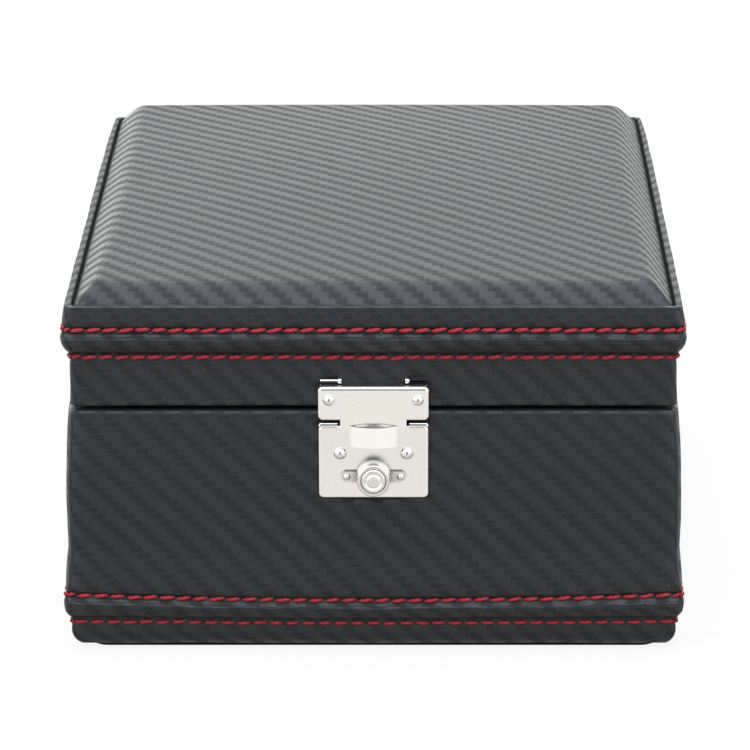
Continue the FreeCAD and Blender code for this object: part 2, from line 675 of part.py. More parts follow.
def lid_padding():
    """Pillow on the lid, bevelled and crowned, and the velvet pad inside."""
    pillow = new_body("lid_pillow")
    half_x = "half_width-groove"
    half_y = "half_depth-groove"
    crease_x = f"{half_x}-bevel_width"
    crease_y = f"{half_y}-bevel_width"
    hem = "pillow_foot+pillow_edge"
    crease = f"{hem}+bevel_rise"
    loft_between(pillow, (
        (half_x, half_y, "pillow_corner", "pillow_foot"), (half_x, half_y, "pillow_corner", hem),
        (crease_x, crease_y, "pillow_corner", crease)), True)
    loft_between(pillow, (
        (crease_x, crease_y, "pillow_corner", crease),
        (f"{crease_x}-3*bevel_width", f"{crease_y}-3*bevel_width", "pillow_corner", f"{crease}+0.72*pillow_crown"),
        (f"{crease_x}-7*bevel_width", f"{crease_y}-7*bevel_width", "pillow_corner", f"{crease}+pillow_crown")),
        False)
    keep(pillow, "lid_pillow")

    soft = new_body("lid_inner_pad")
    wide = "half_width-rail-inner_pad_gap"
    deep = "half_depth-rail-inner_pad_gap"
    low = "rail_top-inner_pad"
    loft_between(soft, (
        (wide, deep, "pillow_corner", "rail_top"), (wide, deep, "pillow_corner", f"{low}+inner_pad_edge"),
        (f"{wide}-0.3*inner_pad_edge", f"{deep}-0.3*inner_pad_edge", "pillow_corner", f"{low}+0.3*inner_pad_edge"),
        (f"{wide}-inner_pad_edge", f"{deep}-inner_pad_edge", "pillow_corner", low)), True)
    keep(soft, "lid_inner_pad")


def leaf(name, middle, upward):
    """Hinge leaf with its knuckles: two outer ones on the base, the middle one on the lid."""
    body = new_body(name)
    sign = "" if upward else "-"
    third = "hinge_width/3"
    near = f"hinge_axis+({sign}leaf_end)"
    far = f"hinge_axis+({sign}(leaf_end+leaf_height))"
    low, high = (near, far) if upward else (far, near)
    plate = sketch_on(body, "XY_Plane", "skin")
    draw(plate, *rounded("-hinge_width/2", low, "hinge_width/2", high, "leaf_corner"))
    for place in ("-screw_spacing/2", "screw_spacing/2"):
        draw_circle(plate, place, f"hinge_axis+({sign}(leaf_end+leaf_height/2))", "screw_shank")
    pad(body, plate, "leaf_thick")
    spans = [("-hinge_width/2", f"-{third}/2-knuckle_gap"), (f"{third}/2+knuckle_gap", "hinge_width/2")]
    if upward:
        spans = [(f"-{third}/2+knuckle_gap", f"{third}/2-knuckle_gap")]
    for start, end in spans:
        tab = sketch_on(body, "XY_Plane", "skin")
        reach = f"{near}+({sign}leaf_corner)"
        edges = ("hinge_axis", reach) if upward else (reach, "hinge_axis")
        draw(tab, *rectangle(start, edges[0], end, edges[1]))
        pad(body, tab, "leaf_thick")
        knuckle = sketch_on(body, "YZ_Plane", start)
        draw_circle(knuckle, "hinge_axis", "hinge_out", "knuckle")
        pad(body, knuckle, f"({end})-({start})")
    hole = sketch_on(body, "YZ_Plane", "-hinge_width/2")
    draw_circle(hole, "hinge_axis", "hinge_out", "bore")
    pocket(body, hole, "hinge_width", ahead=True)
    face_back(body, middle)
    keep(body, name)


def screw(name, facing, across, up, seat):
    """Dome-headed screw whose head sits at a distance outside the boards."""
    body = new_body(name)
    section = sketch_on(body, "XZ_Plane")
    crown = swell("0", "2*screw_head", "screw_crown")
    draw(section, ("0", "-screw_reach"), ("screw_shank", "-screw_reach+screw_shank"), ("screw_shank", seat),
         ("screw_head", seat), ("0", f"{seat}+screw_crown", crown, 1))
    revolve(body, section)
    facing(body, across, up)
    return body


def hinges():
    """Two back hinges with their pins and screws."""
    base_screws = []
    lid_screws = []
    for name, middle in (("left", "-hinge_spacing/2"), ("right", "hinge_spacing/2")):
        leaf(f"hinge_base_leaf_{name}", middle, False)
        leaf(f"hinge_lid_leaf_{name}", middle, True)
        pin = doc.addObject("Part::Cylinder", f"hinge_pin_{name}")
        pin.Placement.Rotation = FreeCAD.Rotation(FreeCAD.Vector(0, 1, 0), 90)
        bind(pin, Radius="hinge_pin", Height="hinge_width", Placement__Base__x=f"{middle}-hinge_width/2",
             Placement__Base__y="half_depth+hinge_out", Placement__Base__z="hinge_axis")
        keep(pin, f"hinge_pin_{name}")
        for side in ("-", "+"):
            place = f"{middle}{side}screw_spacing/2"
            drop = "leaf_end+leaf_height/2"
            seat = "skin+leaf_thick"
            label = f"hinge_screw_{len(base_screws)}"
            base_screws.append(screw(label + "_base", face_back, place, f"hinge_axis-({drop})", seat))
            lid_screws.append(screw(label + "_lid", face_back, place, f"hinge_axis+({drop})", seat))
    group("hinge_base_screws", base_screws)
    group("hinge_lid_screws", lid_screws)


def rivet(name, across, up, head, crown, shank, seat, tail, tail_head=None):
    """Dome-headed rivet or nail on the front: head at seat, shank back to tail."""
    body = new_body(name)
    section = sketch_on(body, "XZ_Plane")
    dome = swell("0", f"2*{head}", crown)
    corners = [("0", tail), (shank, tail), (shank, seat), (head, seat), ("0", f"{seat}+{crown}", dome, 1)]
    if tail_head:
        corners[1:2] = [(tail_head, tail), (tail_head, f"{tail}+sheet/2"), (shank, f"{tail}+sheet/2")]
    draw(section, *corners)
    revolve(body, section)
    face_front(body, across, up)
    return body


def lock():
    """Lock plate with its nails, the button in its collar, and the catch behind the plate."""
    plate = new_body("lock_plate")
    outline = sketch_on(plate, "XY_Plane", "lock_seat")
    draw(outline, *rounded("-lock_width/2", "lock_foot", "lock_width/2", "lock_top", "lock_corner"))
    pad(plate, outline, "lock_deep")
    face = number("plate_face")
    round_edges(plate, "lock_edge", lambda point: abs(point.z - face) < 1e-6)
    hollow = sketch_on(plate, "XY_Plane", "lock_seat")
    draw(hollow, *rounded("-lock_width/2+sheet", "lock_foot+sheet", "lock_width/2-sheet", "lock_top-sheet",
                          "lock_corner-sheet/2"))
    pocket(plate, hollow, "lock_deep-sheet", ahead=True)
    holes = sketch_on(plate, "XY_Plane", "plate_face")
    draw(holes, *rectangle("-hook_half-notch_gap", "hook_foot-notch_gap", "hook_half+notch_gap", "lock_top+sheet"))
    draw_circle(holes, "0", "button_line", "button_bore")
    for side in ("-", ""):
        draw_circle(holes, f"{side}nail_spread", "lock_foot+nail_rise", "nail_shank")
        draw_circle(holes, f"{side}ear_spread", "button_line", "rivet_shank")
    pocket(plate, holes, "lock_deep")
    face_front(plate)
    keep(plate, "lock_plate")

    nails = []
    rivets = []
    for name, side in (("left", "-"), ("right", "")):
        nails.append(rivet(f"plate_nail_{name}", f"{side}nail_spread", "lock_foot+nail_rise", "nail_head",
                           "nail_crown", "nail_shank", "plate_face", "-screw_reach"))
        rivets.append(rivet(f"collar_rivet_{name}", f"{side}ear_spread", "button_line", "rivet_head",
                            "rivet_crown", "rivet_shank", "plate_face+ear_thick", "plate_back-sheet/2",
                            "rivet_head"))
    group("lock_plate_nails", nails)
    group("collar_rivets", rivets)

    sleeve = new_body("button_collar")
    section = sketch_on(sleeve, "XZ_Plane")
    lip = "plate_face+collar_tall"
    draw(section, ("button_bore", "plate_face"), ("collar", "plate_face"), ("collar", "plate_face+ear_thick/2"),
         ("collar_lip", f"{lip}-rim_edge_round",
          bow("collar-collar_lip", f"{lip}-rim_edge_round-plate_face-ear_thick/2"), 1),
         ("collar_lip-rim_edge_round", lip, "rim_edge_round", 1), ("button_bore", lip))
    revolve(sleeve, section)
    ears = sketch_on(sleeve, "XY_Plane", "plate_face")
    root = "(button_bore+collar)/2"
    draw(ears, (root, "-ear"), ("ear_spread", "-ear"), ("ear_spread+ear", "0", "ear", 1),
         ("ear_spread", "ear", "ear", 1), (root, "ear"))
    draw(ears, (f"-{root}", "ear"), ("-ear_spread", "ear"), ("-ear_spread-ear", "0", "ear", 1),
         ("-ear_spread", "-ear", "ear", 1), (f"-{root}", "-ear"))
    draw_circle(ears, "ear_spread", "0", "rivet_shank")
    draw_circle(ears, "-ear_spread", "0", "rivet_shank")
    pad(sleeve, ears, "ear_thick")
    face_front(sleeve, "0", "button_line")
    keep(sleeve, "button_collar")


def button_and_catch():
    """Button with the cone that presses the catch down, and the leaf spring that returns it."""
    button = new_body("push_button")
    section = sketch_on(button, "XZ_Plane")
    cone_foot = "catch_face-2*(cone_radius-button_stem)"
    cone_head = "catch_face+button_travel+2*catch_play"
    edge = "rim_edge_round"
    draw(section, ("0", "-stem_reach"), ("button_stem", "-stem_reach"), ("button_stem", cone_foot),
         ("button", cone_head), ("button", f"button_face-{edge}"), (f"button-{edge}", "button_face", edge, 1),
         (f"button_ring+{edge}", "button_face"), ("button_ring", f"button_face-{edge}/2"),
         (f"button_ring-{edge}", "button_face"), ("0", "button_face"))
    revolve(button, section)
    face_front(button, "0", "button_line")
    keep(button, "push_button")

    catch = new_body("lock_catch")
    outline = sketch_on(catch, "XY_Plane")
    sill = "button_line-cone_radius-catch_play"
    head = "button_line+button+cone_lead+swing_gap"
    shoulder = f"{head}+2*catch_bar"
    draw(outline, ("-catch_half", f"{sill}-catch_bar"), ("catch_half", f"{sill}-catch_bar"),
         ("catch_half", shoulder), ("nose_half", shoulder), ("nose_half", "nose_top"),
         ("-nose_half", "nose_top"), ("-nose_half", shoulder), ("-catch_half", shoulder))
    draw(outline, *rectangle("-button-swing_gap", sill, "button+swing_gap", head))
    pad(catch, outline, "sheet")
    nose = sketch_on(catch, "XY_Plane")
    draw(nose, *rectangle("-nose_half", "nose_top-sheet", "nose_half", "nose_top"))
    pad(catch, nose, "plate_back-hook_toe+sheet")
    face_front(catch)
    keep(catch, "lock_catch")

    spring = new_body("lock_spring")
    strip = sketch_on(spring, "XZ_Plane", "-spring_wide/2")
    rise = "mortise_deep-stem_reach-catch_play"
    inner = "spring_half-spring_strip"
    draw(strip, (f"-({inner})", "-mortise_deep"),
         (inner, "-mortise_deep", swell(f"2*({inner})", "0", f"{rise}-spring_strip"), -1),
         ("spring_half", "-mortise_deep"), ("-spring_half", "-mortise_deep", swell("2*spring_half", "0", rise), 1))
    pad(spring, strip, "spring_wide")
    face_front(spring, "0", "button_line")
    keep(spring, "lock_spring")


def hasp():
    """Hinged hasp with its thumb hood and hook, and the bracket on the lid that it turns on."""
    hasp_top = "hasp_foot+hasp_tall"
    flap = new_body("hasp_flap")
    outline = sketch_on(flap, "XY_Plane", "hasp_face-hasp_deep")
    draw(outline, *rounded("-hasp_width/2", "hasp_foot", "hasp_width/2", hasp_top, "lock_corner"))
    pad(flap, outline, "hasp_deep")
    face = number("hasp_face")
    round_edges(flap, "hasp_edge", lambda point: abs(point.z - face) < 1e-6)
    hollow = sketch_on(flap, "XY_Plane", "hasp_face-hasp_deep")
    draw(hollow, *rectangle("-hasp_width/2+sheet", "hasp_foot-sheet", "hasp_width/2-sheet", f"{hasp_top}-sheet"))
    pocket(flap, hollow, "hasp_deep-sheet", ahead=True)
    tongue = sketch_on(flap, "XY_Plane", "hasp_back")
    draw(tongue, *rectangle("-shoulder_half", "hasp_foot-shoulder_drop", "shoulder_half", "hasp_foot+2*sheet"))
    pad(flap, tongue, "sheet")
    hood = sketch_on(flap, "XZ_Plane", "-hood_foot-hood_tall")
    inner = "hood_half-sheet"
    outer_bow = swell("2*hood_half", "0", "hood_rise")
    brow = "hasp_back+hood_side"
    draw(hood, (f"-({inner})", "hasp_back"), (f"-({inner})", brow),
         (inner, brow, swell(f"2*({inner})", "0", "hood_rise-sheet"), -1), (inner, "hasp_back"),
         ("hood_half", "hasp_back"), ("hood_half", brow), ("-hood_half", brow, outer_bow, 1),
         ("-hood_half", "hasp_back"))
    pad(flap, hood, "hood_tall")
    sill = sketch_on(flap, "XZ_Plane", "-hood_foot-sheet")
    draw(sill, ("hood_half", "hasp_back"), ("hood_half", brow), ("-hood_half", brow, outer_bow, 1),
         ("-hood_half", "hasp_back"))
    pad(flap, sill, "sheet")
    for start in ("-barrel_inner-barrel_long", "barrel_inner"):
        barrel = sketch_on(flap, "YZ_Plane", start)
        draw_circle(barrel, "hasp_axis", "hasp_axis_out", "barrel")
        pad(flap, barrel, "barrel_long")
        neck = sketch_on(flap, "YZ_Plane", start)
        draw(neck, *rectangle(f"{hasp_top}-sheet", "hasp_axis_out+barrel-sheet", "hasp_axis", "hasp_axis_out+barrel"))
        pad(flap, neck, "barrel_long")
    bore = sketch_on(flap, "YZ_Plane", "-hasp_width/2")
    draw_circle(bore, "hasp_axis", "hasp_axis_out", "hasp_pin+running_gap")
    pocket(flap, bore, "hasp_width", ahead=True)
    holes = sketch_on(flap, "XY_Plane", "hasp_face")
    rivet_holes(holes)
    pocket(flap, holes, "2*sheet")
    face_front(flap)
    keep(flap, "hasp_flap")

    hook = new_body("hasp_hook")
    outline = sketch_on(hook, "XY_Plane", "hasp_back-sheet")
    bar_low = "hasp_foot+hasp_rivet_rise-hook_bar_tall/2"
    bar_high = "hasp_foot+hasp_rivet_rise+hook_bar_tall/2"
    draw(outline, ("-hook_half", "hook_foot"), ("hook_half", "hook_foot"), ("hook_half", bar_low),
         ("hook_bar_half", bar_low), ("hook_bar_half", bar_high), ("-hook_bar_half", bar_high),
         ("-hook_bar_half", bar_low), ("-hook_half", bar_low))
    rivet_holes(outline)
    pad(hook, outline, "sheet")
    toe = sketch_on(hook, "XY_Plane", "plate_back-hook_toe")
    draw(toe, *rectangle("-hook_half", "hook_foot", "hook_half", "hook_foot+sheet"))
    pad(hook, toe, "hasp_back-plate_back+hook_toe")
    face_front(hook)
    keep(hook, "hasp_hook")

    rivets = []
    for name, side in (("left", "-"), ("right", "")):
        rivets.append(rivet(f"hasp_rivet_{name}", f"{side}hasp_rivet_spread", "hasp_foot+hasp_rivet_rise",
                            "hasp_rivet_head", "hasp_rivet_crown", "hasp_rivet_shank", "hasp_face",
                            "hasp_back-sheet-sheet/2", "rivet_head"))
    group("hasp_rivets", rivets)

    bracket = new_body("hasp_bracket")
    reach = "barrel_inner-swing_gap"
    plate = sketch_on(bracket, "XY_Plane", "skin")
    draw(plate, *rectangle(f"-({reach})", "lid_foot+bracket_rise", reach, hasp_top))
    for side in ("-", ""):
        draw_circle(plate, f"{side}bracket_screw_spread", "lid_foot+bracket_screw_rise", "screw_shank")
    pad(bracket, plate, "sheet")
    for start in (f"-({reach})", f"{reach}-sheet"):
        ear = sketch_on(bracket, "YZ_Plane", start)
        draw(ear, (f"{hasp_top}-2*sheet", "skin"), ("hasp_axis+bracket_ear", "skin"),
             ("hasp_axis+bracket_ear", "hasp_axis_out"),
             ("hasp_axis", "hasp_axis_out+bracket_ear", "bracket_ear", 1),
             ("hasp_axis-bracket_ear", "hasp_axis_out", "bracket_ear", 1),
             ("hasp_axis-bracket_ear", "skin+sheet"), (f"{hasp_top}-2*sheet", "skin+sheet"))
        draw_circle(ear, "hasp_axis", "hasp_axis_out", "hasp_pin")
        pad(bracket, ear, "sheet")
    face_front(bracket)
    keep(bracket, "hasp_bracket")

    pins = []
    for name, start in (("left", "-barrel_inner-barrel_long"), ("right", f"{reach}-sheet")):
        pin = doc.addObject("Part::Cylinder", f"hasp_pin_{name}")
        pin.Placement.Rotation = FreeCAD.Rotation(FreeCAD.Vector(0, 1, 0), 90)
        bind(pin, Radius="hasp_pin", Height="barrel_long+swing_gap+sheet", Placement__Base__x=start,
             Placement__Base__y="-half_depth-hasp_axis_out", Placement__Base__z="hasp_axis")
        pins.append(pin)
    group("hasp_pins", pins)

    screws = []
    for name, side in (("left", "-"), ("right", "")):
        screws.append(screw(f"bracket_screw_{name}", face_front, f"{side}bracket_screw_spread",
                            "lid_foot+bracket_screw_rise", "skin+sheet"))
    group("hasp_bracket_screws", screws)


def rivet_holes(sketch):
    """Two holes for the hasp's rivets."""
    for side in ("-", ""):
        draw_circle(sketch, f"{side}hasp_rivet_spread", "hasp_foot+hasp_rivet_rise", "hasp_rivet_shank")


def write_pieces():
    """Check every object and piece, then write one file for each piece."""
    doc.recompute()
    for item in doc.Objects:
        if {"Invalid", "Error"} & set(item.State):
            raise ValueError(f"{item.Label} failed: {item.State}")
    for item in pieces:
        if item.Shape.isNull() or not item.Shape.isValid() or item.Shape.Volume <= 0:
            raise ValueError(f"{item.Label} has no valid solid")
    os.makedirs("parts", exist_ok=True)
    for item in pieces:
        item.Shape.exportStep(f"parts/{item.Label}.step")
        print(f"{item.Label}: {len(item.Shape.Solids)} solid(s), {item.Shape.Volume:.1f} mm3")


fill_sheets()
base_carcass()
interior()
lid_case()
lid_padding()
hinges()
lock()
button_and_catch()
hasp()
write_pieces()
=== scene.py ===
import json
import logging
import math
from dataclasses import dataclass
from enum import Enum

import bpy
import numpy as np
from bpy.types import Material, Node, NodeSocket, NodeTree, Object, Scene
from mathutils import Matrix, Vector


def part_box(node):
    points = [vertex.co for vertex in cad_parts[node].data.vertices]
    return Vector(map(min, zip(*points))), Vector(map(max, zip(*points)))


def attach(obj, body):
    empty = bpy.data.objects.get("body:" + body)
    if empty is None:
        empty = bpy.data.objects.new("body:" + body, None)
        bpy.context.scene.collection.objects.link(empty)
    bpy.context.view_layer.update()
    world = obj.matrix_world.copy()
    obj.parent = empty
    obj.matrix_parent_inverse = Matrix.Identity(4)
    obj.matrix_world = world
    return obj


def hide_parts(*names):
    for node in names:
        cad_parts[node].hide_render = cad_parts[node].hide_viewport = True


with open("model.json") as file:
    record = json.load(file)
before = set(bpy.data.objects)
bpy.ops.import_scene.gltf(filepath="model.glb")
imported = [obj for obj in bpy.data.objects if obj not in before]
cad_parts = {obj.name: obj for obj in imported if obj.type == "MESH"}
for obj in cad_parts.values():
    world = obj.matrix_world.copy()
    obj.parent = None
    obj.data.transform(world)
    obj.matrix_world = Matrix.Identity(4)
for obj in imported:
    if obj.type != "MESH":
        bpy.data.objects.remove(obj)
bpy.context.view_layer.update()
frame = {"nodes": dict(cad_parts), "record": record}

# Watch box: fibreboard wrapped in padded leatherette with a pressed weave, red saddle stitching,
# a padded lid, velvet compartments with cushions, and a nickel push-button hasp lock.
# Sizes inside the classes are millimetres, and a mesh is written in metres.
# Outward distances are counted from the outside face of the boards.

MM = 0.001
TINY = 1e-9
Array = np.ndarray
SEED = 7
log = logging.getLogger("watch_box")


def linear(code: str) -> tuple[float, float, float, float]:
    """Turn an sRGB hex colour into the linear colour that shaders use.

    Args:
        code: colour such as "#B3242E".

    Returns:
        Linear red, green, blue and an alpha of 1. Each channel is the sRGB curve's inverse.
    """
    channels = [int(code[place:place + 2], 16) / 255 for place in (1, 3, 5)]
    curve = [c / 12.92 if c <= 0.04045 else ((c + 0.055) / 1.055) ** 2.4 for c in channels]
    return curve[0], curve[1], curve[2], 1.0


def add(tree: NodeTree, kind: str, inputs: dict | list = (),
        stops: tuple[tuple[float, str], ...] = (), **settings) -> Node:
    """Add a shader node with its settings and its links.

    Args:
        tree: node tree that gets the node.
        kind: node type without its ShaderNode prefix.
        inputs: values of the first sockets, or socket names and numbers with their values. A value may be a
            node whose first output is linked, or an output.
        stops: places from 0 to 1 and sRGB hex colours, where the node has a colour ramp.
        settings: attributes of the node, such as operation="ADD".

    Returns:
        The new node.
    """
    made = tree.nodes.new("ShaderNode" + kind)
    for name, value in settings.items():
        setattr(made, name, value)
    for socket, value in inputs.items() if isinstance(inputs, dict) else enumerate(inputs):
        if isinstance(value, Node):
            tree.links.new(value.outputs[0], made.inputs[socket])
        elif isinstance(value, NodeSocket):
            tree.links.new(value, made.inputs[socket])
        else:
            made.inputs[socket].default_value = value
    for number, (place, code) in enumerate(stops):
        marks = made.color_ramp.elements
        mark = marks[number] if number < len(marks) else marks.new(place)
        mark.position = place
        mark.color = linear(code)
    return made


@dataclass(frozen=True)
class Finish:
    """A real material, with a shader that its own class builds."""

    name: str

    def surface(self, tree: NodeTree) -> Node:
        """Build the shader.

        Args:
            tree: empty node tree of the material.

        Returns:
            The node whose output is the surface.
        """
        raise NotImplementedError

    def material(self) -> Material:
        """Make the material of this finish.

        Returns:
            The material, with its shader linked to its surface.
        """
        made = bpy.data.materials.new(self.name)
        made.use_nodes = True
        made.node_tree.nodes.clear()
        add(made.node_tree, "OutputMaterial", {"Surface": self.surface(made.node_tree)})
        return made


class Axis(Enum):
    """Direction that a soft panel's crown faces."""

    UP = 1.0
    DOWN = -1.0


@dataclass(frozen=True)
class CarbonLeatherette(Finish):
    """Embossed leatherette: vinyl on a cloth backing, pressed by a heated roller with a two-by-two twill.

    To the eye that gives a satin black with rows of small domed lozenges, two threads long and one high,
    that step down to the right. The lozenges are darker and duller than the smooth bands between them,
    and the whole turns pale grey where it mirrors a bright wall at a flat angle.
    """

    name: str = "embossed_leatherette"
    thread: float = 1.88
    wobble: float = 1.3
    sway: float = 0.45
    relief: float = 0.10
    round_top: float = 0.6
    flat_fall: float = 4.0
    warp_height: float = 0.3
    flank: float = 0.35
    merge: float = 0.45
    grain: float = 0.45
    pore: float = 0.03
    cloud: float = 38.0
    cloud_share: float = 0.35
    mottle: float = 0.9
    mottle_share: float = 0.6
    mottle_gloss: float = 0.12
    tones: tuple[float, float] = (0.3, 1.65)
    fold: float = 0.7
    fold_size: tuple[float, float] = (11.0, 1.1)
    light: str = "#2C2E2F"
    dark: str = "#0F1011"
    hole: str = "#030303"
    # painted shade: the near black that the needle holes are darkened to
    smooth: float = 0.34
    dull: float = 0.62
    ior: float = 1.43

    def surface(self, tree: NodeTree) -> Node:
        """Build the weave from the piece's own weave map, in metres along and up the cloth.

        The height of a float is a dome across the thread times a flat-topped fall at both its ends.
        """
        cloth = add(tree, "UVMap", uv_map="weave")
        wobble, grain, cloudy, mottle = (
            add(tree, "TexNoise", {0: cloth, "Scale": 1 / (size * MM), "Detail": detail})
            for size, detail in ((self.wobble, 2.0), (self.grain, 3.0),
                                 (self.cloud, 2.0), (self.mottle, 3.0)))
        threads = add(tree, "Mapping", {0: cloth, "Scale": (1 / (self.thread * MM),) * 2 + (1.0,)})
        wobble = add(tree, "VectorMath", [wobble.outputs["Color"], (0.5,) * 3], operation="SUBTRACT")
        threads = add(tree, "VectorMath", [wobble, (self.sway, self.sway, 0.0), threads],
                      operation="MULTIPLY_ADD")
        height, weft = self._twill(tree, threads)
        tone = add(tree, "Math", [cloudy, self.cloud_share, weft], operation="MULTIPLY_ADD")
        tone = add(tree, "Math", [mottle, self.mottle_share, tone], operation="MULTIPLY_ADD")
        tone = add(tree, "MapRange", [tone, self.tones[0], self.tones[1]])
        body = add(tree, "ValToRGB", [tone], ((0.0, self.light), (1.0, self.dark)))
        # Painted shade: the needle holes are darkened towards the hole colour.
        pinch = add(tree, "Attribute", attribute_name="pinch").outputs["Fac"]
        colour = add(tree, "Mix", {0: pinch, 6: body, 7: linear(self.hole)}, data_type="RGBA").outputs[2]
        gloss = add(tree, "Mix", {0: weft, 2: self.smooth, 3: self.dull})
        gloss = add(tree, "Math", [mottle, self.mottle_gloss, gloss], operation="MULTIPLY_ADD")
        drawn = tuple(1 / (size * MM) for size in self.fold_size)
        folds = add(tree, "TexNoise", {0: add(tree, "Mapping", {0: cloth, "Scale": drawn + (1.0,)}),
                                       "Scale": 1.0, "Detail": 2.0})
        slack = add(tree, "Attribute", attribute_name="slack").outputs["Fac"]
        folds = add(tree, "Math", [folds, slack], operation="MULTIPLY")
        bump = add(tree, "Bump", {"Height": folds, "Strength": 1.0, "Distance": self.fold * MM})
        for relief, strength, depth in ((height, 1.0, self.relief), (grain, 0.5, self.pore)):
            bump = add(tree, "Bump", {"Height": relief, "Strength": strength, "Distance": depth * MM,
                                      "Normal": bump})
        return add(tree, "BsdfPrincipled", {
            "Base Color": colour, "Roughness": gloss, "IOR": self.ior, "Normal": bump})

    def _twill(self, tree: NodeTree, threads: Node) -> tuple[Node, Node]:
        """Work out the twill from coordinates that count threads.

        A cell's step is its column plus its row, counted in fours. Steps 0 and 1 show the weft, which runs
        across in domed lozenges, and steps 2 and 3 the warp, which runs up and merges into a low band. The
        share of weft is partly that of its cells, and partly a cosine across the slanting bands they make.

        Args:
            tree: node tree of the leatherette.
            threads: vector of threads across and up.

        Returns:
            Height of the relief from 0 to 1, and the share of weft that shows, which fades at a float's ends.
        """
        parts = add(tree, "SeparateXYZ", [threads])
        across, up = parts.outputs[0], parts.outputs[1]
        column = add(tree, "Math", [across], operation="FLOOR")
        row = add(tree, "Math", [up], operation="FLOOR")
        in_column = add(tree, "Math", [across], operation="FRACT")
        in_row = add(tree, "Math", [up], operation="FRACT")
        step = add(tree, "Math", [column, row], operation="ADD")
        step = add(tree, "Math", [step, 4.0], operation="FLOORED_MODULO")
        weft = add(tree, "Math", [step, 1.5], operation="LESS_THAN")
        over = add(tree, "Mix", {0: weft, 2: in_column, 3: in_row})
        along = add(tree, "Mix", {0: weft, 2: in_row, 3: in_column})
        place = add(tree, "Math", [step, 2.0], operation="MODULO")
        place = add(tree, "Math", [place, along], operation="ADD")
        place = add(tree, "Math", [place, 1.0], operation="SUBTRACT")
        ends = add(tree, "Math", [place], operation="ABSOLUTE")
        ends = add(tree, "Math", [ends, self.flat_fall], operation="POWER")
        ends = add(tree, "Math", [1.0, ends], operation="SUBTRACT")
        dome = add(tree, "Math", [over, math.pi], operation="MULTIPLY")
        dome = add(tree, "Math", [dome], operation="SINE")
        dome = add(tree, "Math", [dome, self.round_top], operation="POWER")
        shown = add(tree, "MapRange", [ends, 0.0, 0.7], interpolation_type="SMOOTHSTEP")
        flank = add(tree, "Math", [dome, self.flank, 1 - self.flank], operation="MULTIPLY_ADD")
        shown = add(tree, "Math", [shown, flank], operation="MULTIPLY")
        shown = add(tree, "Math", [shown, weft], operation="MULTIPLY")
        slope = add(tree, "Math", [across, up], operation="ADD")
        slope = add(tree, "Math", [slope, math.pi / 2, -0.75 * math.pi], operation="MULTIPLY_ADD")
        slope = add(tree, "Math", [slope], operation="COSINE")
        slope = add(tree, "Math", [slope, 0.5, 0.5], operation="MULTIPLY_ADD")
        shown = add(tree, "Mix", {0: self.merge, 2: shown, 3: slope})
        dome = add(tree, "Math", [dome, ends], operation="MULTIPLY")
        share = add(tree, "Math", [weft, 1 - self.warp_height, self.warp_height],
                    operation="MULTIPLY_ADD")
        return add(tree, "Math", [dome, share], operation="MULTIPLY"), shown


@dataclass(frozen=True)
class RedThread(Finish):
    """Bonded polyester sewing thread, two plies twisted: silky red with fine slanting fibres."""

    name: str = "twisted_polyester_thread"
    colour: str = "#E03442"
    shade: str = "#BE2330"
    # painted shade: the colour that the valleys between the plies are darkened to
    deep: str = "#8A121C"
    glint: str = "#FF9A9A"
    fibre: float = 0.22
    slant: float = 32.0
    relief: float = 0.08
    roughness: float = 0.42

    def surface(self, tree: NodeTree) -> Node:
        """Build the thread: fibres run on a slant round the stitch by its own map."""
        wound = add(tree, "UVMap", uv_map="weave")
        turned = add(tree, "Mapping", {0: wound, "Rotation": (0.0, 0.0, math.radians(self.slant))})
        fibres = add(tree, "TexWave", {0: turned, "Scale": 0.3 / (self.fibre * MM), "Distortion": 1.5,
                                       "Detail": 2.0})
        # Painted shade: the valleys between the plies are darkened towards the deep colour.
        valley = add(tree, "Attribute", attribute_name="pinch").outputs["Fac"]
        silk = add(tree, "ValToRGB", [fibres], ((0.0, self.shade), (0.75, self.colour)))
        colour = add(tree, "Mix", {0: valley, 6: silk, 7: linear(self.deep)}, data_type="RGBA").outputs[2]
        bump = add(tree, "Bump", {"Height": fibres, "Strength": 0.7, "Distance": self.relief * MM})
        return add(tree, "BsdfPrincipled", {
            "Base Color": colour, "Roughness": self.roughness, "IOR": 1.53, "Normal": bump,
            "Sheen Weight": 0.25, "Sheen Roughness": 0.4, "Sheen Tint": linear(self.glint)})


